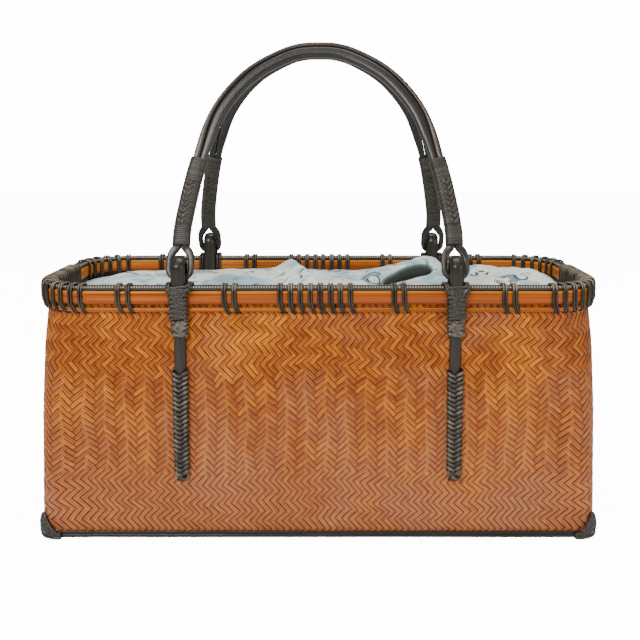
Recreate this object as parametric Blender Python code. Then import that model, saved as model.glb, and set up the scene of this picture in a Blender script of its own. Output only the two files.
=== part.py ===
"""A woven bamboo basket bag with two cane handles and a cloth pouch inside.

Metres, +Z up. The bag stands on its four feet at z = 0, centred on x = y = 0.
X runs along the wide side and Y from the front (negative) to the back.
"""

import math

import bmesh
import bpy
from mathutils import Vector

# Basket body
RIM_LENGTH = 0.295  # across the middle of the wall at the rim, left to right
RIM_DEPTH = 0.110  # across the middle of the wall at the rim, front to back
RIM_CORNER = 0.028  # corner radius of the wall's middle at the rim
RIM_TOP = 0.137  # height of the top of the rim above the floor
WALL = 0.0018
BASE_THICKNESS = 0.0024
CLEARANCE = 0.0003  # between pieces that lie against each other

# Rim
CAP_HEIGHT = 0.0021
CAP_CROWN = 0.6  # flat part of the cap's top, as a share of its width
CAP_SHOULDER = 0.45  # rounding of the cap's edges, as a share of its height
BAND_HEIGHT = 0.007
OUTER_BAND = 0.0022
INNER_BAND = 0.0020
STRIP_DROP = 0.0021  # plain weave that shows between the band and the strip
STRIP_HEIGHT = 0.0021
STRIP_THICKNESS = 0.0015

# Lashing round the rim
WRAP_WIDTH = 0.0034
WRAP_THICKNESS = 0.0009
WRAP_PITCH = 0.0052
END_PITCH = 0.0036  # the wraps lie side by side round the short ends
CLOSE_WRAP = 0.8  # greatest width of a wrap, as a share of its pitch
BACK_CORNER_PITCH = 0.0068
WRAP_OVERHANG = 0.0012  # how far a wrap reaches below the strip
WRAP_SLANT = 0.35  # how far a wrap's lower end leans along the rim, in pitches
STRAND = 0.0014  # the strand that runs on under the inner band
STRAND_SPARE = 0.3  # how far the strand runs on past a group, in wrap widths

# Struts that hold the handles
STRUT_DISTANCE = 0.1437  # between the left and the right strut
STRUT_LENGTH = 0.104  # from the rim's top down to the tail
STRUT_WIDTH = 0.0058
STRUT_THICKNESS = 0.0022
TAIL_WIDTH = 0.0062
LOOP_WIDTH = 0.0074
LOOP_THICKNESS = 0.0034
LOOP_RISE = 0.0155  # top of the loop above the rim
KNOT_WIDTH = 0.0114
KNOT_DROP = 0.017
SADDLE = 0.0019  # thickness of the knot's turns over the rim
SECOND_KNOT_WIDTH = 0.0087
SECOND_KNOT_HEIGHT = 0.009
TIE_WIDTH = 0.0083
TIE_END_WIDTH = 0.0078
TIE_HEIGHT = 0.0555
TIE_ABOVE_TAIL = 0.0035
BINDING = 0.0010  # thickness of the knots and ties in front of the strut

# Handles
HANDLE_RISE = 0.1317  # from the hinge line to the middle of the arch
CANE = 0.0044  # across one cane, in the plane of the arch
CANE_DEPTH = 0.0050
LEG_CANE = 0.0037
CANE_GAP = 0.0003
RING_WIRE = 0.0030
RING_WIDTH = 0.0146
RING_CORNER = 0.0046
GRIP_START = 0.0165
GRIP_HEIGHT = 0.0495
GRIP_WALL = 0.0007

# Feet and base rail
FOOT_REACH = 0.013  # along the base from the corner
FOOT_HEIGHT = 0.014
FOOT_WALL = 0.0013
FOOT_SOLE = 0.0014
FOOT_LIP = 0.0050  # how far the sole reaches in under the base
RAIL_HEIGHT = 0.0024
RAIL_THICKNESS = 0.0014

# Pouch
CLOTH = 0.0010
POUCH_CORNER = 0.004  # smallest corner radius of the cloth
MOUTH_LENGTH = 0.062
MOUTH_WIDTH = 0.010
MOUTH_X = 0.18  # share of the rim's length, to the right of the middle
MOUTH_Y = 0.08  # share of the rim's depth, to the back of the middle
MOUTH_TURN = 50.0  # degrees from the X axis
CLOTH_SAG = 0.004

CORNER_STEPS = 5
ARCH_STEPS = 11
POUCH_STEPS = 32

# Wall outline by height: shares of the height from the base to the shoulder,
# of the rim's half length and half depth, and of its corner radius
BODY_SECTIONS = (
    # height, length, depth, corner
    (0.00, 0.9925, 0.982, 0.24),
    (0.09, 1.0035, 1.000, 0.26),
    (0.28, 1.0050, 1.012, 0.40),
    (0.55, 1.0105, 1.012, 0.62),
    (0.84, 1.0100, 1.002, 0.88),
    (1.00, 1.0000, 1.000, 1.00),
)

# Middle line of the arch: shares of the strut spacing and of the handle's rise
ARCH_LINE = (
    # across, up
    (0.000, 1.000),
    (0.070, 0.995),
    (0.138, 0.970),
    (0.236, 0.908),
    (0.312, 0.829),
    (0.378, 0.725),
    (0.421, 0.607),
    (0.452, 0.485),
    (0.474, 0.373),
    (0.497, 0.213),
    (0.500, 0.120),
)

# Handle ring below the fork: shares of the ring's half width and of GRIP_START
RING_LINE = (
    # across, up
    (0.50, 0.93),
    (0.88, 0.78),
    (1.00, 0.62),
    (1.00, 0.40),
)

# Folds of the pouch's top: centre as shares of the rim's half length and half
# depth, direction in degrees, length and width as shares of the rim's depth,
# height as a share of the rim's band
CLOTH_FOLDS = (
    # x, y, turn, length, width, height
    (-0.66, 0.45, 10.0, 0.55, 0.26, 0.80),
    (-0.28, 0.30, 68.0, 0.70, 0.16, 1.45),
    (-0.50, -0.35, 20.0, 0.70, 0.22, 0.75),
    (0.08, -0.30, 25.0, 0.60, 0.22, 0.60),
    (0.42, 0.25, 28.0, 0.75, 0.22, 1.35),
    (0.76, 0.20, 70.0, 0.60, 0.22, 1.20),
    (0.72, -0.45, 10.0, 0.50, 0.22, 0.70),
)

# Lashing groups: middle of the group along the rim from the middle of the
# front or back, as a share of the straight length, and the number of wraps
SIDE_LASHINGS = (
    ("left_outer", -0.844, 2),
    ("left_inner", -0.383, 2),
    ("middle", -0.010, 8),
    ("right_inner", 0.354, 2),
    ("right_outer", 0.831, 2),
)
FRONT_CORNER_WRAPS = 6
FRONT_CORNER_PLACE = 0.36  # middle of the group, as a share of the corner's arc
BACK_CORNER_WRAPS = 6
BACK_CORNER_PLACE = 0.52
END_REACH = 0.45  # where the end wraps stop, as a share of the short side's half

WALL_TOP = RIM_TOP - CAP_HEIGHT - CLEARANCE
HALF_LENGTH = RIM_LENGTH / 2
HALF_DEPTH = RIM_DEPTH / 2
BAND_INNER = WALL / 2 + CLEARANCE
BAND_OUTER = BAND_INNER + OUTER_BAND
LINING_OUTER = BAND_INNER + INNER_BAND
BAND_BOTTOM = WALL_TOP - BAND_HEIGHT
STRIP_TOP = BAND_BOTTOM - STRIP_DROP
STRIP_BOTTOM = STRIP_TOP - STRIP_HEIGHT
FACET_SAG = RIM_CORNER * (1 - math.cos(0.25 * math.pi / CORNER_STEPS))
WRAP_GAP = CLEARANCE + FACET_SAG  # clears the flats of the rim's corners
BASE_BOTTOM = FOOT_SOLE + CLEARANCE
SHOULDER = STRIP_BOTTOM - WRAP_OVERHANG - 2 * CLEARANCE  # the wall is upright above this
HINGE_HEIGHT = RIM_TOP + CLEARANCE + SADDLE + CLEARANCE + RING_WIRE / 2
KNOT_FRONT = (
    BAND_OUTER + CLEARANCE + LOOP_THICKNESS + CLEARANCE + BINDING
)


def material(name, colour, roughness):
    """A plain surface finish."""
    finish = bpy.data.materials.new(name)
    finish.use_nodes = True
    shader = finish.node_tree.nodes["Principled BSDF"]
    shader.inputs["Base Color"].default_value = (*colour, 1.0)
    shader.inputs["Roughness"].default_value = roughness
    return finish


def add_object(name, mesh_data, finish, parent=None, origin=(0.0, 0.0, 0.0)):
    """Make the named object from a bmesh given in world coordinates."""
    bmesh.ops.recalc_face_normals(mesh_data, faces=mesh_data.faces)
    origin = Vector(origin)
    bmesh.ops.translate(mesh_data, verts=mesh_data.verts, vec=-origin)
    mesh = bpy.data.meshes.new(name)
    mesh_data.to_mesh(mesh)
    mesh_data.free()
    mesh.shade_smooth()
    mesh.set_sharp_from_angle(angle=math.radians(35))
    piece = bpy.data.objects.new(name, mesh)
    piece.data.materials.append(finish)
    piece.location = origin
    if parent is not None:
        piece.parent = parent
        piece.location = origin - parent.location
    bpy.context.collection.objects.link(piece)
    return piece


def loft(rings, closed=False):
    """A closed surface through rings of equally many points."""
    mesh_data = bmesh.new()
    loops = [[mesh_data.verts.new(point) for point in ring] for ring in rings]
    count = len(loops[0])
    pairs = list(zip(loops, loops[1:]))
    if closed:
        pairs.append((loops[-1], loops[0]))
    for low, high in pairs:
        for i in range(count):
            j = (i + 1) % count
            mesh_data.faces.new((low[i], low[j], high[j], high[i]))
    if not closed:
        mesh_data.faces.new(reversed(loops[0]))
        mesh_data.faces.new(loops[-1])
    return mesh_data


def union(piece, other):
    """Join another object to a piece and drop the other."""
    modifier = piece.modifiers.new("join", "BOOLEAN")
    modifier.operation = "UNION"
    modifier.object = other
    graph = bpy.context.evaluated_depsgraph_get()
    joined = bpy.data.meshes.new_from_object(piece.evaluated_get(graph))
    piece.modifiers.clear()
    piece.data = joined
    bpy.data.objects.remove(other)


def table_value(rows, share):
    """The columns of a table at a share of its first column."""
    for low, high in zip(rows, rows[1:]):
        if share <= high[0]:
            break
    t = (share - low[0]) / (high[0] - low[0])
    return [a + (b - a) * t for a, b in zip(low[1:], high[1:])]


def outline(half_length, half_depth, radius, long_steps=2, short_steps=1):
    """Points (x, y) round a rounded rectangle, from the front left corner."""
    points = []
    corners = (
        (-1, -1, math.pi, long_steps),
        (1, -1, 1.5 * math.pi, short_steps),
        (1, 1, 0.0, long_steps),
        (-1, 1, 0.5 * math.pi, short_steps),
    )
    for side_x, side_y, start, steps in corners:
        centre = Vector((
            side_x * (half_length - radius),
            side_y * (half_depth - radius),
        ))
        for i in range(CORNER_STEPS + 1):
            angle = start + 0.5 * math.pi * i / CORNER_STEPS
            reach = Vector((math.cos(angle), math.sin(angle)))
            points.append(centre + radius * reach)
        along = Vector((-math.sin(angle), math.cos(angle)))
        run = 2 * (half_length if steps == long_steps else half_depth)
        run -= 2 * radius
        start_point = points[-1]
        for i in range(1, steps):
            points.append(start_point + along * run * i / steps)
    return points


def body_shares(height):
    """Shares of half length, half depth and corner radius at a height."""
    share = (height - BASE_BOTTOM) / (SHOULDER - BASE_BOTTOM)
    return table_value(BODY_SECTIONS, min(max(share, 0.0), 1.0))


def wall_outline(height, offset):
    """The body's outline at a height, moved outward from its middle."""
    length, depth, corner = body_shares(height)
    return outline(
        HALF_LENGTH * length + offset,
        HALF_DEPTH * depth + offset,
        RIM_CORNER * corner + offset,
    )


def wall_level(height, offset, level=None):
    """A ring of the body's outline as points in space."""
    level = height if level is None else level
    return [Vector((x, y, level)) for x, y in wall_outline(height, offset)]


def wall_front(height):
    """Distance from the middle plane to the wall's middle at a height."""
    return HALF_DEPTH * body_shares(height)[1]


def rim_point(distance):
    """Point and outward direction on the rim, by distance along it.

    Distance starts at the middle of the front and runs to the right.
    """
    long_run = HALF_LENGTH - RIM_CORNER
    short_run = HALF_DEPTH - RIM_CORNER
    arc = 0.5 * math.pi * RIM_CORNER
    quarter = long_run + arc + short_run
    turn = math.floor((distance + quarter) / (2 * quarter))
    local = distance - turn * 2 * quarter
    mirror = -1 if local < 0 else 1
    local = abs(local)
    if local <= long_run:
        point = Vector((local, -HALF_DEPTH))
        normal = Vector((0.0, -1.0))
    elif local <= long_run + arc:
        angle = (local - long_run) / RIM_CORNER
        normal = Vector((math.sin(angle), -math.cos(angle)))
        point = Vector((long_run, -short_run)) + RIM_CORNER * normal
    else:
        point = Vector((HALF_LENGTH, -short_run + local - long_run - arc))
        normal = Vector((1.0, 0.0))
    point.x *= mirror
    normal.x *= mirror
    if turn % 2:
        point = -point
        normal = -normal
    return point, normal


def band(name, inner, outer, bottom, top, finish):
    """A band of rectangular section round the body."""
    rings = [
        wall_level(top, outer, bottom),
        wall_level(top, outer, top),
        wall_level(top, inner, top),
        wall_level(top, inner, bottom),
    ]
    return add_object(name, loft(rings, closed=True), finish)


def basket_shell(finish):
    """The woven body: walls and base of one thin shell, open at the top."""
    half = WALL / 2
    rings = []
    heights = [BASE_BOTTOM + row[0] * (SHOULDER - BASE_BOTTOM) for row in BODY_SECTIONS]
    heights.append(WALL_TOP)
    for height in heights:
        rings.append(wall_level(height, half))
    for height in reversed(heights[1:]):
        rings.append(wall_level(height, -half))
    rings.append(wall_level(BASE_BOTTOM + BASE_THICKNESS, -half))
    return add_object("basket_shell", loft(rings), finish)


def rim_pieces(bamboo, cane):
    """Bands inside and outside the wall, the cap on them and the strip below."""
    band("rim_outer_band", BAND_INNER, BAND_OUTER, BAND_BOTTOM, WALL_TOP, bamboo)
    band("rim_inner_band", -LINING_OUTER, -BAND_INNER, BAND_BOTTOM, WALL_TOP, bamboo)
    strip_outer = BAND_INNER + STRIP_THICKNESS
    band("lower_strip", BAND_INNER, strip_outer, STRIP_BOTTOM, STRIP_TOP, bamboo)
    shoulder = RIM_TOP - CAP_SHOULDER * CAP_HEIGHT
    low = RIM_TOP - CAP_HEIGHT
    rings = [
        wall_level(WALL_TOP, BAND_OUTER, low),
        wall_level(WALL_TOP, BAND_OUTER, shoulder),
        wall_level(WALL_TOP, BAND_OUTER * CAP_CROWN, RIM_TOP),
        wall_level(WALL_TOP, -LINING_OUTER * CAP_CROWN, RIM_TOP),
        wall_level(WALL_TOP, -LINING_OUTER, shoulder),
        wall_level(WALL_TOP, -LINING_OUTER, low),
    ]
    add_object("rim_cap", loft(rings, closed=True), cane)


def wrap_profile():
    """Path of one wrap over the rim: (offset, height, slide along the rim)."""
    outer = BAND_OUTER + WRAP_GAP + WRAP_THICKNESS / 2
    inner = LINING_OUTER + WRAP_GAP + WRAP_THICKNESS / 2
    top = RIM_TOP + WRAP_GAP + WRAP_THICKNESS / 2
    tail = STRIP_BOTTOM - WRAP_OVERHANG
    slide = WRAP_SLANT * WRAP_PITCH
    shoulder = RIM_TOP - CAP_SHOULDER * CAP_HEIGHT
    return (
        (-inner, BAND_BOTTOM - STRAND, 0.0),
        (-inner, shoulder, 0.0),
        (-LINING_OUTER * CAP_CROWN, top, 0.0),
        (BAND_OUTER * CAP_CROWN, top, 0.0),
        (outer, shoulder, 0.0),
        (outer, tail, slide),
    )


def wrap_rings(distance, width):
    """Section rings of the wrap, a ridged cane, at a distance along the rim."""
    path = wrap_profile()
    rings = []
    for i, (offset, height, slide) in enumerate(path):
        before = path[max(i - 1, 0)]
        after = path[min(i + 1, len(path) - 1)]
        run = Vector((after[0] - before[0], after[1] - before[1])).normalized()
        across = Vector((-run.y, run.x)) * WRAP_THICKNESS / 2
        point, normal = rim_point(distance + slide)
        along = Vector((-normal.y, normal.x, 0.0)) * width / 2
        ring = []
        for side, face in ((-1, -1), (1, -1), (0, 1)):
            reach = offset + face * across.x
            place = Vector((
                point.x + normal.x * reach,
                point.y + normal.y * reach,
                height + face * across.y,
            ))
            ring.append(place + side * along)
        rings.append(ring)
    return rings


def strand_rings(start, end):
    """The strand under the inner band that carries on from wrap to wrap."""
    inner = -(LINING_OUTER + WRAP_GAP + 0.7 * WRAP_THICKNESS)
    outer = -(BAND_INNER + CLEARANCE)
    top = BAND_BOTTOM - CLEARANCE
    steps = max(2, round((end - start) / (2 * WRAP_PITCH)))
    rings = []
    for i in range(steps + 1):
        point, normal = rim_point(start + (end - start) * i / steps)
        ring = []
        for offset, height in (
            (inner, top - STRAND), (outer, top - STRAND), (outer, top), (inner, top),
        ):
            ring.append(Vector((
                point.x + normal.x * offset, point.y + normal.y * offset, height,
            )))
        rings.append(ring)
    return rings


def lashing(name, middle, count, pitch, finish):
    """A group of wraps round the rim, joined by the strand inside."""
    places = [middle + (i - (count - 1) / 2) * pitch for i in range(count)]
    width = min(WRAP_WIDTH, CLOSE_WRAP * pitch)
    spare = STRAND_SPARE * width
    strand = strand_rings(places[0] - spare, places[-1] + spare)
    piece = add_object(name, loft(strand), finish)
    wraps = bmesh.new()
    for place in places:
        wrap = loft(wrap_rings(place, width))
        mesh = bpy.data.meshes.new("wrap")
        wrap.to_mesh(mesh)
        wrap.free()
        wraps.from_mesh(mesh)
        bpy.data.meshes.remove(mesh)
    union(piece, add_object("wraps", wraps, finish))
    return piece


def lashings(finish):
    """All lashing groups round the rim."""
    long_run = HALF_LENGTH - RIM_CORNER
    arc = 0.5 * math.pi * RIM_CORNER
    short_run = HALF_DEPTH - RIM_CORNER
    half_turn = 2 * (long_run + arc + short_run)
    for side, start in (("front", 0.0), ("back", half_turn)):
        for place, share, count in SIDE_LASHINGS:
            flip = 1 if side == "front" else -1
            middle = start + flip * share * long_run
            lashing(f"lashing_{side}_{place}", middle, count, WRAP_PITCH, finish)
    front = long_run + FRONT_CORNER_PLACE * arc
    back = half_turn - long_run - BACK_CORNER_PLACE * arc
    first = front + (FRONT_CORNER_WRAPS - 1) / 2 * WRAP_PITCH + WRAP_WIDTH + 2 * CLEARANCE
    last = half_turn / 2 + END_REACH * short_run
    count = int((last - first) / END_PITCH) + 1
    for side, flip in (("right", 1), ("left", -1)):
        lashing(f"lashing_front_{side}", flip * front, FRONT_CORNER_WRAPS, WRAP_PITCH, finish)
        lashing(f"lashing_{side}_end", flip * (first + last) / 2, count, END_PITCH, finish)
        lashing(f"lashing_back_{side}", flip * back, BACK_CORNER_WRAPS, BACK_CORNER_PITCH,
                finish)


def strut_path():
    """Middle line of a strut with its loop.

    Rows of (offset from the wall's middle at the rim, height, half width,
    half thickness), from the loop's inner end over the rim and down the wall.
    """
    half = LOOP_THICKNESS / 2
    outer = BAND_OUTER + CLEARANCE + half
    inner = LINING_OUTER + CLEARANCE + half
    centre = (outer - inner) / 2
    radius = (outer + inner) / 2
    spring = RIM_TOP + LOOP_RISE - half - radius
    width = LOOP_WIDTH / 2
    rows = [(-inner, BAND_BOTTOM, width, half)]
    for i in range(7):
        angle = math.pi * (1 - i / 6)
        rows.append((
            centre + radius * math.cos(angle),
            spring + radius * math.sin(angle),
            width,
            half,
        ))
    flat = STRUT_THICKNESS / 2
    foot = STRIP_BOTTOM - 2 * CLEARANCE
    rows.append((BAND_OUTER + CLEARANCE + half, BAND_BOTTOM + CAP_HEIGHT, width, half))
    rows.append((BAND_OUTER + CLEARANCE + flat, foot, STRUT_WIDTH / 2, flat))
    bottom = RIM_TOP - STRUT_LENGTH
    tie_bottom = bottom + TIE_ABOVE_TAIL
    tie_top = tie_bottom + TIE_HEIGHT
    tie_side = BINDING + CLEARANCE
    for height, half_width in (
        (foot - 0.6 * KNOT_DROP / 2, STRUT_WIDTH / 2),
        (tie_top + CLEARANCE, STRUT_WIDTH / 2),
        (tie_top, TIE_WIDTH / 2 - tie_side),
        (tie_bottom, TIE_END_WIDTH / 2 - tie_side),
        (tie_bottom - 2 * CLEARANCE, TIE_END_WIDTH / 2 - tie_side),
        (bottom, TAIL_WIDTH / 2),
    ):
        offset = wall_front(height) - HALF_DEPTH + BAND_INNER + flat
        rows.append((offset, height, half_width, flat))
    return rows


def strut(name, side_x, side_y, finish):
    """A flat cane strut on the wall whose top loops over the rim."""
    rows = strut_path()
    rings = []
    for i, (offset, height, half_width, half) in enumerate(rows):
        before = rows[max(i - 1, 0)]
        after = rows[min(i + 1, len(rows) - 1)]
        run = Vector((after[0] - before[0], after[1] - before[1])).normalized()
        across = Vector((-run.y, run.x)) * half
        middle = side_x * STRUT_DISTANCE / 2
        ring = []
        for width, face in (
            (-0.8, -1), (0.8, -1), (1, 0.3), (0.7, 1), (-0.7, 1), (-1, 0.3),
        ):
            ring.append(Vector((
                middle + width * half_width,
                side_y * (HALF_DEPTH + offset + face * across.x),
                height + face * across.y,
            )))
        rings.append(ring)
    return add_object(name, loft(rings), finish)


def channel(name, side_x, side_y, rows, finish):
    """A binding that covers a strut's front and sides.

    Rows of (height, back offset, front offset, hollow's front offset, half
    width, hollow's half width), offsets from the wall's middle at the rim.
    """
    middle = side_x * STRUT_DISTANCE / 2
    rings = []
    for height, back, front, hollow, half_width, hollow_half in rows:
        bevel = 0.25 * half_width
        plan = (
            (-half_width, back), (-half_width, front - bevel),
            (-half_width + bevel, front), (half_width - bevel, front),
            (half_width, front - bevel), (half_width, back),
            (hollow_half, back), (hollow_half, hollow),
            (-hollow_half, hollow), (-hollow_half, back),
        )
        rings.append([
            Vector((middle + x, side_y * (HALF_DEPTH + y), height)) for x, y in plan
        ])
    return add_object(name, loft(rings), finish)


def rim_knot(name, side_x, side_y, finish):
    """Turns round the strut at the rim, carried over the rim as a saddle."""
    back = BAND_OUTER + CLEARANCE
    hollow = back + LOOP_THICKNESS + CLEARANCE
    hollow_half = LOOP_WIDTH / 2 + CLEARANCE
    top = RIM_TOP + CLEARANCE + SADDLE
    bottom = RIM_TOP - KNOT_DROP
    rows = [
        (bottom, back, hollow + 0.6 * BINDING, hollow, 0.46 * KNOT_WIDTH, hollow_half),
        (bottom + BINDING, back, KNOT_FRONT, hollow, KNOT_WIDTH / 2, hollow_half),
        (top - BINDING, back, KNOT_FRONT, hollow, KNOT_WIDTH / 2, hollow_half),
        (top, back, hollow + 0.6 * BINDING, hollow, 0.46 * KNOT_WIDTH, hollow_half),
    ]
    piece = channel(name, side_x, side_y, rows, finish)
    middle = side_x * STRUT_DISTANCE / 2
    half_width = 0.44 * KNOT_WIDTH
    arm = hollow_half + 0.5 * CLEARANCE
    reach = back + 0.4 * LOOP_THICKNESS
    plan = (
        (-half_width, -LINING_OUTER), (half_width, -LINING_OUTER),
        (half_width, reach), (arm, reach), (arm, BAND_OUTER),
        (-arm, BAND_OUTER), (-arm, reach), (-half_width, reach),
    )
    rings = [
        [Vector((middle + x, side_y * (HALF_DEPTH + y), height)) for x, y in plan]
        for height in (RIM_TOP + CLEARANCE, top - 0.1 * SADDLE)
    ]
    union(piece, add_object("saddle", loft(rings), finish))
    return piece


def second_knot(name, side_x, side_y, finish):
    """Narrower turns round the strut just below the rim knot."""
    top = RIM_TOP - KNOT_DROP - CLEARANCE
    rows = []
    for share, swell in ((0.0, 0.85), (0.25, 1.0), (0.75, 1.0), (1.0, 0.85)):
        height = top - SECOND_KNOT_HEIGHT * (1 - share)
        wall = wall_front(height) - HALF_DEPTH + BAND_INNER
        step = max(wall, BAND_OUTER + CLEARANCE - (top - height) * 0.9)
        hollow = step + STRUT_THICKNESS + 2 * CLEARANCE
        hollow_half = STRUT_WIDTH / 2 + 2 * CLEARANCE
        half_width = SECOND_KNOT_WIDTH / 2 * swell
        rows.append((height, wall, hollow + BINDING, hollow, half_width, hollow_half))
    return channel(name, side_x, side_y, rows, finish)


def braid_tie(name, side_x, side_y, finish):
    """The long braided tie over the lower half of the strut."""
    bottom = RIM_TOP - STRUT_LENGTH + TIE_ABOVE_TAIL
    rows = []
    for share, swell in ((0.0, 0.9), (0.04, 1.0), (0.5, 1.0), (0.96, 1.0), (1.0, 0.9)):
        height = bottom + TIE_HEIGHT * share
        wall = wall_front(height) - HALF_DEPTH + BAND_INNER
        hollow = wall + STRUT_THICKNESS + CLEARANCE
        width = TIE_END_WIDTH + (TIE_WIDTH - TIE_END_WIDTH) * share
        half_width = width / 2 * swell
        hollow_half = width / 2 - BINDING
        front = hollow + BINDING * swell
        rows.append((height, wall, front, hollow, half_width, hollow_half))
    return channel(name, side_x, side_y, rows, finish)


def arch_point(t):
    """Point and outward direction on the arch's middle line, t from 0 to 1."""
    count = len(ARCH_LINE) - 1
    place = min(t * count, count - 1e-6)
    i = int(place)
    t = place - i
    first = (-ARCH_LINE[1][0], ARCH_LINE[1][1])
    last = ARCH_LINE[-1]
    rows = (first, *ARCH_LINE, (last[0], 2 * last[1] - ARCH_LINE[-2][1]))
    knots = [
        Vector((row[0] * STRUT_DISTANCE, row[1] * HANDLE_RISE))
        for row in rows[i:i + 4]
    ]
    a, b, c, d = knots
    point = 0.5 * (
        2 * b + (c - a) * t
        + (2 * a - 5 * b + 4 * c - d) * t ** 2
        + (3 * b - a - 3 * c + d) * t ** 3
    )
    run = 0.5 * (
        (c - a) + 2 * (2 * a - 5 * b + 4 * c - d) * t
        + 3 * (3 * b - a - 3 * c + d) * t ** 2
    ).normalized()
    return point, Vector((-run.y, run.x)).normalized()


def cane_half(height):
    """Half the cane's width in the arch's plane, thinner inside the grips."""
    grip_top = GRIP_START + GRIP_HEIGHT
    t = min(max((height - grip_top) / (0.35 * GRIP_HEIGHT), 0.0), 1.0)
    t = t * t * (3 - 2 * t)
    return (LEG_CANE + (CANE - LEG_CANE) * t) / 2


def half_handle_line(side):
    """Half of the cane's line from the top down to the ring's bottom.

    Rows of (across, up, half width, half depth) for the outer run where side
    is 1 and for the inner run where side is -1.
    """
    rows = []
    for i in range(ARCH_STEPS + 1):
        point, normal = arch_point(i / ARCH_STEPS)
        if point.y < GRIP_START:
            break
        half = cane_half(point.y)
        point = point + side * normal * (half + CANE_GAP / 2)
        rows.append((point.x, point.y, half, CANE_DEPTH / 2 * half / (CANE / 2)))
    middle = STRUT_DISTANCE / 2
    wire = RING_WIRE / 2
    half_ring = RING_WIDTH / 2 - wire
    lean = LEG_CANE / 2 + CANE_GAP / 2
    rows.append((middle + side * lean, GRIP_START, LEG_CANE / 2, LEG_CANE / 2))
    for across, up in RING_LINE:
        reach = lean + (half_ring - lean) * across
        rows.append((middle + side * reach, up * GRIP_START, wire, wire))
    for i in range(4):
        angle = 0.5 * math.pi * i / 3
        across = half_ring - RING_CORNER + RING_CORNER * math.cos(angle)
        up = RING_CORNER * (1 - math.sin(angle))
        rows.append((middle + side * across, up, wire, wire))
    return rows


def handle_plane(side_y, lean):
    """Function that places (across, up, out of plane) on a leaning handle."""
    up = Vector((0.0, -side_y * math.sin(lean), math.cos(lean)))
    out = Vector((0.0, side_y * math.cos(lean), math.sin(lean)))
    foot = Vector((0.0, side_y * HALF_DEPTH, HINGE_HEIGHT))

    def place(x, y, z):
        return foot + Vector((x, 0.0, 0.0)) + y * up + z * out

    return place


def handle_lean():
    """Angle at which the two handles meet over the middle."""
    half = CANE_DEPTH / 2 + CLEARANCE
    top = HANDLE_RISE + CANE + CANE_GAP / 2
    angle = 0.0
    for _ in range(20):
        reach = HALF_DEPTH - half * math.cos(angle)
        angle = math.asin(reach / top)
    return angle


def handle_cane(name, place, parent, finish):
    """One cane bent into a double arch with a ring at each foot."""
    outer = half_handle_line(1)
    inner = half_handle_line(-1)
    right = outer + inner[:-1][::-1]
    left = [(-x, y, a, b) for x, y, a, b in inner[1:]]
    left += [(-x, y, a, b) for x, y, a, b in outer[1:-1][::-1]]
    line = right + left
    sides = 6
    rings = []
    for i, (across, up, half, half_depth) in enumerate(line):
        before = line[i - 1]
        after = line[(i + 1) % len(line)]
        run = Vector((after[0] - before[0], after[1] - before[1])).normalized()
        normal = Vector((-run.y, run.x))
        ring = []
        for k in range(sides):
            angle = 2 * math.pi * (k + 0.5) / sides
            reach = half * math.cos(angle) / math.cos(math.pi / sides)
            depth = half_depth * math.sin(angle)
            ring.append(place(across + normal.x * reach, up + normal.y * reach, depth))
        rings.append(ring)
    return add_object(name, loft(rings, closed=True), finish, parent, parent.location)


def leg_grip(name, side_x, place, parent, finish):
    """The wound sleeve that holds the two canes together above a ring."""
    steps = 4
    hole = LEG_CANE + CANE_GAP / 2 + CLEARANCE
    hole_depth = LEG_CANE / 2 * CANE_DEPTH / CANE + 2 * CLEARANCE
    stations = []
    low = GRIP_START + CLEARANCE
    for i in range(steps + 1):
        target = low + GRIP_HEIGHT * i / steps
        t = 1.0
        point, normal = arch_point(t)
        while point.y < target and t > 0.0:
            t -= 0.002
            point, normal = arch_point(t)
        if i == 0:
            point = Vector((STRUT_DISTANCE / 2, target))
        stations.append((point, normal))
    rings = []
    for wall, order in ((GRIP_WALL, stations), (0.0, stations[::-1])):
        for point, normal in order:
            ring = []
            for k in range(8):
                angle = 2 * math.pi * (k + 0.5) / 8
                square = 1 / max(abs(math.cos(angle)), abs(math.sin(angle)))
                round_off = 0.5 * (1 + square) / square
                swell = 1.0 if wall == 0.0 else round_off
                reach = (hole + wall) * math.cos(angle) * square * swell
                depth = (hole_depth + wall) * math.sin(angle) * square * swell
                across = point.x + normal.x * reach
                up = point.y + normal.y * reach
                ring.append(place(side_x * across, up, depth))
            rings.append(ring)
    return add_object(name, loft(rings, closed=True), finish, parent, parent.location)


def handle(side, side_y, finish, binding):
    """One handle on its hinge line: the cane and its two grips."""
    hinge = bpy.data.objects.new(f"{side}_handle_hinge", None)
    hinge.location = (0.0, side_y * HALF_DEPTH, HINGE_HEIGHT)
    bpy.context.collection.objects.link(hinge)
    bpy.context.view_layer.update()
    place = handle_plane(side_y, handle_lean())
    handle_cane(f"{side}_handle_cane", place, hinge, finish)
    for side_name, side_x in (("left", -1), ("right", 1)):
        leg_grip(f"{side}_{side_name}_grip", side_x, place, hinge, binding)


def base_rail(finish):
    """The cane strip round the foot of the wall."""
    inner = WALL / 2 + CLEARANCE
    outer = inner + RAIL_THICKNESS
    top = BASE_BOTTOM + RAIL_HEIGHT
    flare = wall_outline(BASE_BOTTOM, 0.0)[0].x - wall_outline(top, 0.0)[0].x
    rings = [
        wall_level(BASE_BOTTOM, outer + flare, BASE_BOTTOM),
        wall_level(BASE_BOTTOM, outer + flare, top),
        wall_level(BASE_BOTTOM, inner + flare, top),
        wall_level(BASE_BOTTOM, inner + flare, BASE_BOTTOM),
    ]
    add_object("base_rail", loft(rings, closed=True), finish)
    return outer + flare


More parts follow.
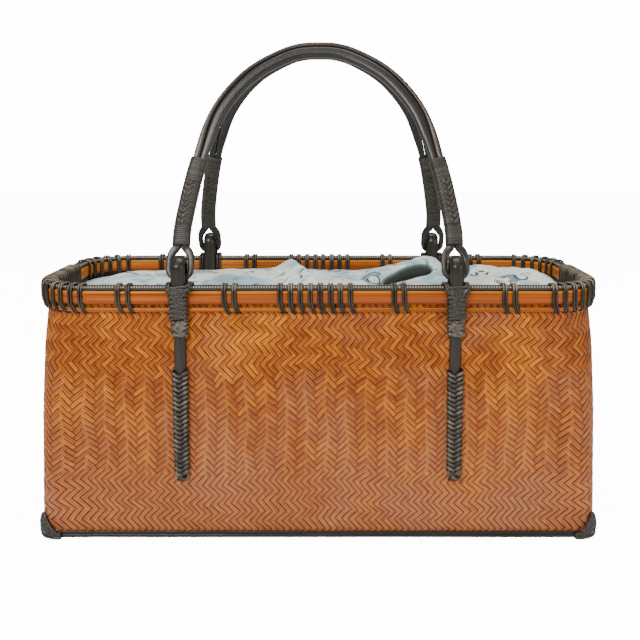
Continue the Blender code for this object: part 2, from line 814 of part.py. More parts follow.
def corner_foot(name, side_x, side_y, rail_outer, finish):
    """A guard folded round a lower corner, with a sole under the base."""
    length, depth, corner = BODY_SECTIONS[0][1:]
    inner = rail_outer + CLEARANCE
    outer = inner + FOOT_WALL
    radius = RIM_CORNER * corner
    centre = Vector((HALF_LENGTH * length - radius, HALF_DEPTH * depth - radius))
    straight = FOOT_REACH - radius - outer
    stations = []
    for i in range(3):
        run = straight * (1 - i / 2)
        stations.append((centre - Vector((run, 0.0)), Vector((0.0, 1.0))))
    for i in range(1, 4):
        angle = 0.5 * math.pi * i / 4
        stations.append((centre, Vector((math.sin(angle), math.cos(angle)))))
    for i in range(3):
        run = straight * i / 2
        stations.append((centre - Vector((0.0, run)), Vector((1.0, 0.0))))
    middle = (len(stations) - 1) / 2
    rings = []
    for i, (point, normal) in enumerate(stations):
        share = abs(i - middle) / middle
        height = FOOT_SOLE + (FOOT_HEIGHT - FOOT_SOLE) * (1 - share) ** 1.5
        height = max(height, BASE_BOTTOM + 0.8 * RAIL_HEIGHT)
        section = (
            (outer - 0.2 * FOOT_WALL, 0.0), (outer, 0.3 * FOOT_SOLE), (outer, height),
            (inner, height), (inner, FOOT_SOLE), (-FOOT_LIP, FOOT_SOLE),
            (-FOOT_LIP, 0.0),
        )
        ring = []
        for offset, level in section:
            spot = point + normal * (radius + offset)
            ring.append(Vector((side_x * spot.x, side_y * spot.y, level)))
        rings.append(ring)
    return add_object(name, loft(rings), finish)


def cloth_height(x, y, share):
    """Height of the pouch's top at a place, share 0 at the wall, 1 at the mouth."""
    height = BAND_BOTTOM - STRAND - 4 * CLEARANCE - CLOTH_SAG * math.sin(math.pi * share)
    rise = 0.0
    for fold_x, fold_y, turn, length, width, tall in CLOTH_FOLDS:
        away = Vector((x - fold_x * HALF_LENGTH, y - fold_y * HALF_DEPTH))
        angle = math.radians(turn)
        along = away.x * math.cos(angle) + away.y * math.sin(angle)
        across = away.y * math.cos(angle) - away.x * math.sin(angle)
        along /= length * RIM_DEPTH
        across /= width * RIM_DEPTH
        bump = tall * BAND_HEIGHT * math.exp(-along ** 2 * 4 - across ** 2 * 2)
        rise = max(rise, bump)
    blend = min(share / 0.22, 1.0)
    return height + rise * blend * blend * (3 - 2 * blend)


def pouch_outline(half_length, half_depth, radius):
    """Evenly turned outline points for the pouch, starting at the right."""
    points = []
    for i in range(POUCH_STEPS):
        angle = 2 * math.pi * i / POUCH_STEPS
        reach = Vector((math.cos(angle) * half_length, math.sin(angle) * half_depth))
        stretch = max(abs(reach.x) / half_length, abs(reach.y) / half_depth)
        reach = reach / stretch
        inner = Vector((half_length - radius, half_depth - radius))
        corner = Vector((abs(reach.x) - inner.x, abs(reach.y) - inner.y))
        if corner.x > 0 and corner.y > 0:
            corner = corner.normalized() * radius
            reach = Vector((
                math.copysign(inner.x + corner.x, reach.x),
                math.copysign(inner.y + corner.y, reach.y),
            ))
        points.append(reach)
    return points


def pouch(finish):
    """A cloth sack in the basket, its top folded in to a narrow mouth."""
    top = BAND_BOTTOM - STRAND - 4 * CLEARANCE
    floor = BASE_BOTTOM + BASE_THICKNESS + CLEARANCE
    mouth_centre = Vector((MOUTH_X * RIM_LENGTH, MOUTH_Y * RIM_DEPTH))
    turn = math.radians(MOUTH_TURN)
    outside = []
    inside = []
    gap = WALL / 2 + 2 * CLEARANCE

    def level(height, offset, z):
        length, depth, corner = body_shares(height)
        plan = pouch_outline(
            HALF_LENGTH * length - offset,
            HALF_DEPTH * depth - offset,
            max(RIM_CORNER * corner - offset, POUCH_CORNER),
        )
        return [Vector((p.x, p.y, z)) for p in plan]

    for row in BODY_SECTIONS:
        height = BASE_BOTTOM + row[0] * (SHOULDER - BASE_BOTTOM)
        height = min(max(height, floor), top - 2 * CLOTH)
        outside.append(level(height, gap, height))
        inside.append(level(height, gap + CLOTH, max(height, floor + CLOTH)))
    rim = level(top, gap + CLOTH, top)
    shares = (0.0, 0.12, 0.30, 0.52, 0.76, 1.0)
    for share in shares:
        ring_out = []
        ring_in = []
        for i, start in enumerate(rim):
            angle = 2 * math.pi * i / POUCH_STEPS
            slit = Vector((
                math.cos(angle - turn) * MOUTH_LENGTH / 2,
                math.sin(angle - turn) * MOUTH_WIDTH / 2,
            ))
            slit = mouth_centre + Vector((
                slit.x * math.cos(turn) - slit.y * math.sin(turn),
                slit.x * math.sin(turn) + slit.y * math.cos(turn),
            ))
            x = start.x + (slit.x - start.x) * share
            y = start.y + (slit.y - start.y) * share
            z = cloth_height(x, y, share)
            shrink = 1 - CLOTH / HALF_DEPTH if share == 0.0 else 1.0
            ring_out.append(Vector((x, y, z)))
            ring_in.append(Vector((x * shrink, y * shrink, z - CLOTH)))
        outside.append(ring_out)
        inside.append(ring_in)
    return add_object("pouch", loft(outside + inside[::-1]), finish)


def main():
    """Build every piece of the bag."""
    for old in list(bpy.data.objects):
        bpy.data.objects.remove(old)
    woven = material("woven_bamboo", (0.50, 0.22, 0.06), 0.45)
    bamboo = material("rim_bamboo", (0.60, 0.25, 0.05), 0.30)
    cane = material("dark_cane", (0.09, 0.07, 0.05), 0.40)
    rattan = material("dark_rattan", (0.06, 0.05, 0.045), 0.35)
    cloth = material("pouch_cloth", (0.55, 0.63, 0.65), 0.90)

    basket_shell(woven)
    rim_pieces(bamboo, cane)
    lashings(rattan)
    for front, side_y in (("front", -1), ("back", 1)):
        for side, side_x in (("left", -1), ("right", 1)):
            place = f"{front}_{side}"
            strut(f"{place}_strut", side_x, side_y, cane)
            rim_knot(f"{place}_rim_knot", side_x, side_y, rattan)
            second_knot(f"{place}_second_knot", side_x, side_y, rattan)
            braid_tie(f"{place}_braid_tie", side_x, side_y, rattan)
        handle(front, side_y, cane, rattan)
    rail_outer = base_rail(cane)
    for front, side_y in (("front", -1), ("back", 1)):
        for side, side_x in (("left", -1), ("right", 1)):
            corner_foot(f"{front}_{side}_foot", side_x, side_y, rail_outer, rattan)
    pouch(cloth)


main()
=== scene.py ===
import math

import bpy
import numpy as np
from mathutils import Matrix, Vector


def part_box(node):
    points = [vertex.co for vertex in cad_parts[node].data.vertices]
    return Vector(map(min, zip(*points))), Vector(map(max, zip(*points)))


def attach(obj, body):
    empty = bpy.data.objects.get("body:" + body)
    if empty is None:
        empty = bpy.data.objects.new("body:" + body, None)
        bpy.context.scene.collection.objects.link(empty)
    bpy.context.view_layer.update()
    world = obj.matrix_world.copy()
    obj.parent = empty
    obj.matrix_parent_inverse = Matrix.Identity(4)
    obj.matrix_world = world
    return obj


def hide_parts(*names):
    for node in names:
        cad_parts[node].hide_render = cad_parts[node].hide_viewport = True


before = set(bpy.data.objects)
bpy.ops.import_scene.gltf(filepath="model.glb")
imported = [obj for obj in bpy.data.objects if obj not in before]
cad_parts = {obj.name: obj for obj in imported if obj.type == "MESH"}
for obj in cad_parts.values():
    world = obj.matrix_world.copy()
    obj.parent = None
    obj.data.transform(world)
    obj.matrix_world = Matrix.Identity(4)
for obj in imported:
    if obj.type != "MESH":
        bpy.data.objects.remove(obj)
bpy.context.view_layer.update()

chance = np.random.default_rng(11)
print("frame loaded:", len(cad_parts), "pieces")

# Camera at the photograph's viewing angle
view = {
    "place": (0.009, -0.485, 0.2134),
    "tilt": 84.0,  # degrees from straight down
    "lens": 47.08,
    "shiftX": -0.0234,
    "shiftY": -0.147,
}


def addCamera():
    data = bpy.data.cameras.new("camera")
    data.lens = view["lens"]
    data.sensor_width = 36.0
    data.shift_x = view["shiftX"]
    data.shift_y = view["shiftY"]
    data.clip_start = 0.01
    camera = bpy.data.objects.new("camera", data)
    camera.location = view["place"]
    camera.rotation_euler = (math.radians(view["tilt"]), 0.0, 0.0)
    bpy.context.scene.collection.objects.link(camera)
    bpy.context.scene.camera = camera


addCamera()

# Soft studio light: place, aimed at the bag's middle, size in metres, watts
studio = {
    "world": 0.27,
    "backdrop": 15.0,
    "floor": (0.95, 0.95, 0.95),
    "floorGlow": 13.0,
    "lights": (
        ("keyLight", (-0.45, -0.95, 0.95), 0.50, 12.5),
        ("fillLight", (0.95, -0.75, 0.55), 0.70, 4.0),
        ("topLight", (0.05, 0.15, 1.15), 0.80, 7.0),
    ),
}

# Sizes of the basket, the same as in the CAD
basket = {
    "halfLength": 0.1475,
    "halfDepth": 0.055,
    "corner": 0.028,
    "wallHalf": 0.0009,
    "base": 0.0017,
    "shoulder": 0.1216,
    "rimTop": 0.137,
    "wallTop": 0.1346,
    "bandBottom": 0.1276,
    "stripTop": 0.1255,
    "stripBottom": 0.1234,
    "bandInner": 0.0012,
    "bandOuter": 0.0034,
    "liningOuter": 0.0032,
    # height share, then length, depth and corner as shares of the rim's
    "sections": (
        (0.00, 0.9925, 0.982, 0.24),
        (0.09, 1.0035, 1.000, 0.26),
        (0.28, 1.0050, 1.012, 0.40),
        (0.55, 1.0105, 1.012, 0.62),
        (0.84, 1.0100, 1.002, 0.88),
        (1.00, 1.0000, 1.000, 1.00),
    ),
}
longRun = basket["halfLength"] - basket["corner"]
shortRun = basket["halfDepth"] - basket["corner"]
cornerArc = 0.5 * math.pi * basket["corner"]
quarterRun = longRun + cornerArc + shortRun
fullTurn = 4 * quarterRun


class MeshBag:
    # gathers grids of points until they become one mesh
    def __init__(self):
        self.points = []
        self.quads = []
        self.fibre = []
        self.shade = []
        self.count = 0

    def add(self, points, quads, fibre, shade):
        points = points.reshape(-1, 3)
        self.points.append(points)
        self.quads.append(quads.reshape(-1, 4) + self.count)
        self.fibre.append(fibre.reshape(-1, 3))
        self.shade.append(np.broadcast_to(shade, fibre.shape[:-1]).reshape(-1))
        self.count += len(points)


def makePiece(name, bag, finish, body="basket", replaced=()):
    points = np.concatenate(bag.points).astype(np.float32)
    quads = np.concatenate(bag.quads).astype(np.int32)
    mesh = bpy.data.meshes.new(name)
    mesh.vertices.add(len(points))
    mesh.vertices.foreach_set("co", points.ravel())
    mesh.loops.add(quads.size)
    mesh.loops.foreach_set("vertex_index", quads.ravel())
    mesh.polygons.add(len(quads))
    mesh.polygons.foreach_set("loop_start", np.arange(0, quads.size, 4, dtype=np.int32))
    mesh.polygons.foreach_set("use_smooth", np.ones(len(quads), dtype=bool))
    mesh.update(calc_edges=True)
    mesh.validate()
    fibre = mesh.attributes.new("fibre", "FLOAT_VECTOR", "POINT")
    fibre.data.foreach_set("vector", np.concatenate(bag.fibre).astype(np.float32).ravel())
    shade = mesh.attributes.new("shade", "FLOAT", "POINT")
    shade.data.foreach_set("value", np.concatenate(bag.shade).astype(np.float32))
    mesh.materials.append(finish)
    piece = bpy.data.objects.new(name, mesh)
    bpy.context.scene.collection.objects.link(piece)
    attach(piece, body)
    if replaced:
        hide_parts(*replaced)
    print(name, 2 * len(quads), "triangles")
    return piece


def gridQuads(rows, columns, closeRows=False, closeColumns=False):
    r = np.arange(rows if closeRows else rows - 1)
    c = np.arange(columns if closeColumns else columns - 1)
    r, c = np.meshgrid(r, c, indexing="ij")
    nextR = (r + 1) % rows
    nextC = (c + 1) % columns
    corners = (r * columns + c, r * columns + nextC, nextR * columns + nextC, nextR * columns + c)
    return np.stack(corners, -1).reshape(-1, 4)


def capQuads(sides, first=0, flip=False):
    quads = [(i, i + 1, sides - 2 - i, sides - 1 - i) for i in range(sides // 2 - 1)]
    quads = np.array(quads) + first
    return quads[:, ::-1] if flip else quads


def unit(vectors):
    return vectors / np.maximum(np.linalg.norm(vectors, axis=-1, keepdims=True), 1e-12)


def easeShare(t):
    t = np.clip(t, 0.0, 1.0)
    return t * t * (3 - 2 * t)


def smoothPath(rows, steps, closed=False):
    # Catmull-Rom curve through the rows, with steps points for each span
    rows = np.asarray(rows, dtype=float)
    if closed:
        padded = np.concatenate([rows[-1:], rows, rows[:2]])
        spans = len(rows)
    else:
        padded = np.concatenate([2 * rows[:1] - rows[1:2], rows, 2 * rows[-1:] - rows[-2:-1]])
        spans = len(rows) - 1
    parts = []
    t = (np.arange(steps) / steps)[:, None]
    for i in range(spans):
        a, b, c, d = padded[i:i + 4]
        parts.append(0.5 * (
            2 * b + (c - a) * t + (2 * a - 5 * b + 4 * c - d) * t ** 2
            + (3 * b - a - 3 * c + d) * t ** 3
        ))
    if not closed:
        parts.append(rows[-1:])
    return np.concatenate(parts)


def wallPoint(around, height, lift):
    # place on the basket's wall, around from the middle of the front to the right
    around, height, lift = np.broadcast_arrays(
        np.asarray(around, float), np.asarray(height, float), np.asarray(lift, float))
    rows = np.array(basket["sections"])
    span = basket["shoulder"] - basket["base"]
    share = np.clip((height - basket["base"]) / span, 0.0, 1.0)
    length = basket["halfLength"] * np.interp(share, rows[:, 0], rows[:, 1])
    depth = basket["halfDepth"] * np.interp(share, rows[:, 0], rows[:, 2])
    radius = basket["corner"] * np.interp(share, rows[:, 0], rows[:, 3])
    turn = np.floor((around + quarterRun) / (2 * quarterRun))
    local = around - turn * 2 * quarterRun
    mirror = np.where(local < 0, -1.0, 1.0)
    local = np.abs(local)
    straight = length - radius - longRun
    arc = 0.5 * math.pi * radius
    total = straight + arc + depth - radius - shortRun
    run = np.clip((local - longRun) / cornerArc, 0.0, 1.0) * total
    angle = np.clip((run - straight) / radius, 0.0, 0.5 * math.pi)
    after = np.maximum(run - straight - arc, 0.0)
    after = after + np.maximum(local - longRun - cornerArc, 0.0)
    side = np.sin(angle)
    front = np.cos(angle)
    x = np.minimum(local, longRun) + np.minimum(run, straight) + (radius + lift) * side
    y = radius - depth - (radius + lift) * front + after
    flip = np.where(turn % 2 == 0, 1.0, -1.0)
    point = np.stack([x * mirror * flip, y * flip, height], -1)
    normal = np.stack([side * mirror * flip, -front * flip, np.zeros_like(side)], -1)
    return point, normal


# Sections in (across, outward), counterclockwise
def roundSection(sides, power=2.0):
    angle = 2 * math.pi * (np.arange(sides) + 0.5) / sides
    section = np.stack([np.cos(angle), np.sin(angle)], -1)
    return np.sign(section) * np.abs(section) ** (2.0 / power)


strandSection = np.array([
    (-0.80, -0.8), (0.80, -0.8), (1.0, -0.1), (0.72, 0.62), (0.0, 1.0), (-0.72, 0.62),
    (-1.0, -0.1), (-0.95, -0.5),
])
strapSection = np.array([
    (-0.85, -1.0), (0.0, -1.0), (0.85, -1.0), (1.0, -0.3), (0.84, 0.45), (0.45, 0.86),
    (0.0, 1.0), (-0.45, 0.86), (-0.84, 0.45), (-1.0, -0.3),
])


def sweep(bag, path, outward, section, halfWidth, halfThick, tone=None, closed=False, shade=None):
    path = np.asarray(path, float)
    outward = np.broadcast_to(np.asarray(outward, float), path.shape)
    if closed:
        run = np.roll(path, -1, 0) - np.roll(path, 1, 0)
    else:
        run = np.gradient(path, axis=0)
    run = unit(run)
    across = unit(np.cross(outward, run))
    out = np.cross(run, across)
    halfWidth = np.broadcast_to(halfWidth, len(path))
    halfThick = np.broadcast_to(halfThick, len(path))
    points = path[:, None, :]
    points = points + (halfWidth[:, None] * section[None, :, 0])[..., None] * across[:, None, :]
    points = points + (halfThick[:, None] * section[None, :, 1])[..., None] * out[:, None, :]
    sides = len(section)
    quads = gridQuads(len(path), sides, closeRows=closed, closeColumns=True)
    if not closed:
        last = (len(path) - 1) * sides
        quads = np.concatenate([quads, capQuads(sides, 0, True), capQuads(sides, last)])
    steps = np.linalg.norm(np.diff(path, axis=0), axis=1)
    along = np.concatenate([[0.0], np.cumsum(steps)])
    tone = chance.random() if tone is None else tone
    fibre = np.empty(points.shape)
    fibre[..., 0] = along[:, None]
    fibre[..., 1] = section[None, :, 0]
    fibre[..., 2] = tone
    if shade is None:
        shade = np.broadcast_to(0.5 + 0.5 * section[None, :, 1], points.shape[:2])
    else:
        shade = np.asarray(shade)[:, None] * (0.5 + 0.5 * section[None, :, 1])
    bag.add(points, quads, fibre, shade)


def addTwist(bag, path, outward, radius, pitch, phase, half):
    # one strand of a twisted cord along the path
    run = unit(np.gradient(path, axis=0))
    across = unit(np.cross(outward, run))
    out = np.cross(run, across)
    steps = np.linalg.norm(np.diff(path, axis=0), axis=1)
    along = np.concatenate([[0.0], np.cumsum(steps)])
    angle = phase + 2 * math.pi * along / pitch
    spin = np.cos(angle)[:, None] * across + np.sin(angle)[:, None] * out
    sweep(bag, path + radius * spin, unit(out + 0.4 * spin), roundSection(6), half, half * 0.8)


def planeOutward(rows):
    # outward direction of a path given as (outward, up), turned left from its run
    run = unit(np.gradient(rows, axis=0))
    return np.stack([-run[:, 1], run[:, 0]], -1)


# Finishes: colours and their main settings
def addNode(tree, kind, inputs=None, **settings):
    node = tree.nodes.new(kind)
    for key, value in settings.items():
        setattr(node, key, value)
    for key, value in (inputs or {}).items():
        socket = node.inputs[key]
        if isinstance(value, bpy.types.NodeSocket):
            tree.links.new(value, socket)
        else:
            socket.default_value = value
    return node


def addMath(tree, operation, first, second=0.5, third=0.5, clamp=False):
    node = addNode(tree, "ShaderNodeMath", {0: first, 1: second, 2: third}, operation=operation)
    node.use_clamp = clamp
    return node.outputs[0]


def addMix(tree, factor, first, second, blend="MIX"):
    node = addNode(tree, "ShaderNodeMix", data_type="RGBA", blend_type=blend)
    for index, value in ((0, factor), (6, first), (7, second)):
        if isinstance(value, bpy.types.NodeSocket):
            tree.links.new(value, node.inputs[index])
        elif index == 0:
            node.inputs[index].default_value = value
        else:
            node.inputs[index].default_value = (*value, 1.0)
    return node.outputs[2]


def addRange(tree, value, low, high, newLow=0.0, newHigh=1.0, smooth=False):
    kind = "SMOOTHSTEP" if smooth else "LINEAR"
    inputs = {"Value": value, "From Min": low, "From Max": high, "To Min": newLow, "To Max": newHigh}
    return addNode(tree, "ShaderNodeMapRange", inputs, interpolation_type=kind).outputs[0]


def newGroup(name, inputs, outputs):
    group = bpy.data.node_groups.new(name, "ShaderNodeTree")
    for label, kind, value in inputs:
        socket = group.interface.new_socket(name=label, in_out="INPUT", socket_type=kind)
        socket.default_value = value
    for label, kind in outputs:
        group.interface.new_socket(name=label, in_out="OUTPUT", socket_type=kind)
    source = group.nodes.new("NodeGroupInput").outputs
    target = group.nodes.new("NodeGroupOutput").inputs
    return group, source, target


def fibreStreaksGroup():
    # streaks that run along a strip or strand, from its fibre attribute
    group, source, target = newGroup(
        "fibreStreaks",
        (("Along Scale", "NodeSocketFloat", 60.0), ("Across Scale", "NodeSocketFloat", 4.0),
         ("Detail", "NodeSocketFloat", 3.0)),
        (("Streaks", "NodeSocketFloat"), ("Blotches", "NodeSocketFloat"),
         ("Tone", "NodeSocketFloat"), ("Across", "NodeSocketFloat")))
    fibre = addNode(group, "ShaderNodeAttribute", attribute_name="fibre")
    parts = addNode(group, "ShaderNodeSeparateXYZ", {0: fibre.outputs["Vector"]})
    along = addMath(group, "MULTIPLY", parts.outputs[0], source["Along Scale"])
    across = addMath(group, "MULTIPLY", parts.outputs[1], source["Across Scale"])
    apart = addMath(group, "MULTIPLY", parts.outputs[2], 173.0)
    place = addNode(group, "ShaderNodeCombineXYZ", {0: along, 1: across, 2: apart})
    streaks = addNode(group, "ShaderNodeTexNoise", {
        "Vector": place.outputs[0], "Scale": 1.0, "Detail": source["Detail"], "Roughness": 0.6})
    slow = addMath(group, "MULTIPLY", across, 0.2)
    place = addNode(group, "ShaderNodeCombineXYZ", {0: along, 1: slow, 2: apart})
    blotches = addNode(group, "ShaderNodeTexNoise", {
        "Vector": place.outputs[0], "Scale": 0.9, "Detail": 2.0, "Roughness": 0.5})
    group.links.new(addRange(group, streaks.outputs[0], 0.28, 0.72), target["Streaks"])
    group.links.new(addRange(group, blotches.outputs[0], 0.3, 0.7), target["Blotches"])
    group.links.new(parts.outputs[2], target["Tone"])
    group.links.new(parts.outputs[1], target["Across"])
    return group


def dustAndShadeGroup():
    # dust that settles in the low parts, and the shade attribute passed on as Crown for the painted
    # highlight on the high parts and the painted shade in the low ones
    group, source, target = newGroup(
        "dustAndShade",
        (("Dust", "NodeSocketFloat", 0.3), ("Scale", "NodeSocketFloat", 400.0)),
        (("Dust Mask", "NodeSocketFloat"), ("Crown", "NodeSocketFloat")))
    shade = addNode(group, "ShaderNodeAttribute", attribute_name="shade")
    place = addNode(group, "ShaderNodeTexCoord")
    noise = addNode(group, "ShaderNodeTexNoise", {
        "Vector": place.outputs["Object"], "Scale": source["Scale"], "Detail": 3.0})
    low = addMath(group, "SUBTRACT", 1.0, shade.outputs["Fac"], clamp=True)
    dust = addMath(group, "MULTIPLY", addRange(group, noise.outputs[0], 0.40, 0.65), low)
    dust = addMath(group, "MULTIPLY", dust, source["Dust"], clamp=True)
    group.links.new(dust, target["Dust Mask"])
    group.links.new(shade.outputs["Fac"], target["Crown"])
    return group


fibreStreaks = fibreStreaksGroup()
dustAndShade = dustAndShadeGroup()


def startFinish(name, roughness, specular=0.5, coat=0.0, coatRoughness=0.2):
    finish = bpy.data.materials.new(name)
    finish.use_nodes = True
    tree = finish.node_tree
    shader = tree.nodes["Principled BSDF"]
    shader.inputs["Roughness"].default_value = roughness
    shader.inputs["Specular IOR Level"].default_value = specular
    shader.inputs["Coat Weight"].default_value = coat
    shader.inputs["Coat Roughness"].default_value = coatRoughness
    return finish, tree, shader


def addStreaks(tree, along, across, detail=3.0):
    inputs = {"Along Scale": along, "Across Scale": across, "Detail": detail}
    node = tree.nodes.new("ShaderNodeGroup")
    node.node_tree = fibreStreaks
    for label, value in inputs.items():
        node.inputs[label].default_value = value
    return node.outputs


def addDust(tree, dust, scale):
    node = tree.nodes.new("ShaderNodeGroup")
    node.node_tree = dustAndShade
    node.inputs["Dust"].default_value = dust
    node.inputs["Scale"].default_value = scale
    return node.outputs


def addBump(tree, shader, height, strength, distance):
    bump = addNode(tree, "ShaderNodeBump", {
        "Height": height, "Strength": strength, "Distance": distance})
    tree.links.new(bump.outputs[0], shader.inputs["Normal"])


bambooColours = {
    "strip": (0.35, 0.062, 0.004),
    "ochre": (0.84, 0.240, 0.006),
    "rose": (0.52, 0.185, 0.085),
    # the next two: painted highlight along one edge of each strip, and painted shade on the other edge
    # and where the strips dive under
    "edge": (1.0, 0.58, 0.16),
    "creaseShade": (0.040, 0.010, 0.004),
    "rim": (0.50, 0.105, 0.005),
    # rimLight serves both pale patches and the painted highlight along the band's top; rimDark both the
    # grain and the painted shade along its bottom
    "rimLight": (0.86, 0.32, 0.030),
    "rimDark": (0.14, 0.026, 0.004),
}
caneColours = {
    "dark": (0.010, 0.0075, 0.005),
    "mid": (0.028, 0.022, 0.015),
    # light: the painted highlight colour for the crowns of canes and strands
    "light": (0.095, 0.078, 0.055),
    "dust": (0.11, 0.098, 0.078),
    # the next colour is the painted highlight on the cap's ridges
    "dotHighlight": (0.62, 0.54, 0.42),
}
clothColours = {
    "pale": (0.86, 0.98, 0.94),
    "blue": (0.34, 0.53, 0.58),
    "cream": (0.96, 0.96, 0.80),
    # indigo serves both the print and the painted shade in the fold valleys
    "indigo": (0.05, 0.095, 0.12),
    "line": (0.012, 0.018, 0.022),
    # inside: painted shadow for the pouch's mouth
    "inside": (0.042, 0.050, 0.036),
}


def wovenBambooFinish():
    finish, tree, shader = startFinish("wovenBamboo", 0.42, 0.18)
    streaks = addStreaks(tree, 200.0, 5.5)
    dust = addDust(tree, 0.35, 260.0)
    place = addNode(tree, "ShaderNodeTexCoord")
    parts = addNode(tree, "ShaderNodeSeparateXYZ", {0: place.outputs["Object"]})
    patches = addNode(tree, "ShaderNodeTexNoise", {
        "Vector": place.outputs["Object"], "Scale": 26.0, "Detail": 2.0})
    sunned = addNode(tree, "ShaderNodeTexNoise", {
        "Vector": place.outputs["Object"], "Scale": 17.0, "Detail": 3.0, "Roughness": 0.6})
    warm = addRange(tree, streaks["Tone"], 0.35, 1.0, 0.0, 0.50)
    warm = addMath(tree, "ADD", warm, addRange(tree, sunned.outputs[0], 0.50, 0.66, 0.0, 0.50))
    warm = addMath(tree, "ADD", warm, addRange(tree, streaks["Blotches"], 0.4, 1.0, 0.0, 0.30),
                   clamp=True)
    tone = addMix(tree, warm, bambooColours["strip"], bambooColours["ochre"])
    # paler rose towards the bottom of the wall: painted light, for how the lower wall is lit; the rose
    # patches added next are random tone
    low = addRange(tree, parts.outputs[2], 0.095, 0.020, 0.0, 0.62)
    low = addMath(tree, "ADD", low, addRange(tree, patches.outputs[0], 0.47, 0.66, 0.0, 0.38),
                  clamp=True)
    tone = addMix(tree, low, tone, bambooColours["rose"])
    fine = addRange(tree, streaks["Streaks"], 0.0, 1.0, 0.44, 1.44)
    tone = addMix(tree, 1.0, tone, addNode(tree, "ShaderNodeCombineColor", {
        0: fine, 1: fine, 2: fine}).outputs[0], "MULTIPLY")
    # painted highlight along one edge of every strip
    edge = addRange(tree, streaks["Across"], 0.58, 0.88, 0.0, 0.62)
    edge = addMath(tree, "MULTIPLY", edge, addRange(tree, streaks["Streaks"], 0.2, 0.8))
    tone = addMix(tree, edge, tone, bambooColours["edge"])
    # painted shadow along the other edge of every strip
    edge = addRange(tree, streaks["Across"], -0.55, -0.90, 0.0, 0.92)
    tone = addMix(tree, edge, tone, bambooColours["creaseShade"])
    # painted shade where the floats dive under the next strip and on the dark ground behind them
    deep = addRange(tree, dust["Crown"], 0.75, 0.10, 0.0, 0.95)
    tone = addMix(tree, deep, tone, bambooColours["creaseShade"])
    tree.links.new(tone, shader.inputs["Base Color"])
    rough = addRange(tree, streaks["Blotches"], 0.0, 1.0, 0.34, 0.56)
    tree.links.new(rough, shader.inputs["Roughness"])
    addBump(tree, shader, streaks["Streaks"], 0.35, 0.0002)
    return finish


def rimBambooFinish():
    finish, tree, shader = startFinish("rimBamboo", 0.34, 0.2, 0.14, 0.15)
    streaks = addStreaks(tree, 9.0, 7.0, 4.0)
    dust = addDust(tree, 0.25, 160.0)
    tone = addMix(tree, streaks["Streaks"], bambooColours["rimDark"], bambooColours["rim"])
    tone = addMix(tree, addRange(tree, streaks["Streaks"], 0.35, 0.6), tone, bambooColours["rim"])
    tone = addMix(tree, addRange(tree, streaks["Blotches"], 0.55, 1.0, 0.0, 0.5),
                  tone, bambooColours["rimLight"])
    # painted highlight along the top of each band
    tone = addMix(tree, addRange(tree, dust["Crown"], 0.80, 0.98, 0.0, 0.75),
                  tone, bambooColours["rimLight"])
    # painted shade along the bottom of each band
    tone = addMix(tree, addRange(tree, dust["Crown"], 0.25, 0.02, 0.0, 0.8),
                  tone, bambooColours["rimDark"])
    tree.links.new(tone, shader.inputs["Base Color"])
    tree.links.new(addRange(tree, streaks["Blotches"], 0.0, 1.0, 0.22, 0.40),
                   shader.inputs["Roughness"])
    addBump(tree, shader, streaks["Streaks"], 0.18, 0.0003)
    return finish


def caneFinish(name, along, across, highlightShare, roughness, coat, dustAmount, warm=1.0,
               specular=0.5, highlightGain=1.0):
    # dark stained cane and rattan share one recipe with their own values
    finish, tree, shader = startFinish(name, roughness, specular, coat, 0.25)
    streaks = addStreaks(tree, along, across)
    dust = addDust(tree, dustAmount, 900.0)
    light = tuple(c * k * highlightGain for c, k in zip(caneColours["light"], (warm, 1.0, 1.0 / warm)))
    tone = addMix(tree, streaks["Streaks"], caneColours["dark"], caneColours["mid"])
    # painted highlight: the light colour laid on the crowns, where light would catch them
    crown = addRange(tree, dust["Crown"], 0.55, 1.0, 0.0, highlightShare)
    crown = addMath(tree, "MULTIPLY", crown, addRange(tree, streaks["Blotches"], 0.1, 0.9))
    tone = addMix(tree, crown, tone, light)
    # painted shade on the backs and undersides
    tone = addMix(tree, addRange(tree, dust["Crown"], 0.35, 0.0, 0.0, 0.85),
                  tone, (0.012, 0.009, 0.008))
    tone = addMix(tree, dust["Dust Mask"], tone, caneColours["dust"])
    tree.links.new(tone, shader.inputs["Base Color"])
    rough = addRange(tree, streaks["Streaks"], 0.0, 1.0, roughness - 0.08, roughness + 0.10)
    tree.links.new(rough, shader.inputs["Roughness"])
    addBump(tree, shader, streaks["Streaks"], 0.30, 0.0002)
    return finish


def capFinish():
    # fine cross ridges along the rim's cap, with painted highlights as light spots on the ridges along
    # its top
    finish, tree, shader = startFinish("rimCapCane", 0.40, 0.5, 0.2, 0.25)
    streaks = addStreaks(tree, 40.0, 5.0)
    fibre = addNode(tree, "ShaderNodeAttribute", attribute_name="fibre")
    parts = addNode(tree, "ShaderNodeSeparateXYZ", {0: fibre.outputs["Vector"]})
    wave = addMath(tree, "SINE", addMath(tree, "MULTIPLY", parts.outputs[0], 2 * math.pi / 0.0014))
    ridge = addRange(tree, wave, -0.6, 1.0, smooth=True)
    shade = addNode(tree, "ShaderNodeAttribute", attribute_name="shade")
    band = addRange(tree, addMath(tree, "ABSOLUTE", parts.outputs[1]), 0.45, 0.75, smooth=True)
    band = addMath(tree, "MULTIPLY", band, addRange(tree, shade.outputs["Fac"], 0.55, 0.85))
    # painted highlight spots on the ridge tops near the cap's upper edges
    dotHighlights = addMath(tree, "MULTIPLY", ridge, band)
    tone = addMix(tree, streaks["Streaks"], caneColours["dark"], caneColours["mid"])
    tone = addMix(tree, addMath(tree, "MULTIPLY", dotHighlights, 0.85), tone, caneColours["dotHighlight"])
    tree.links.new(tone, shader.inputs["Base Color"])
    addBump(tree, shader, dotHighlights, 0.5, 0.0004)
    return finish


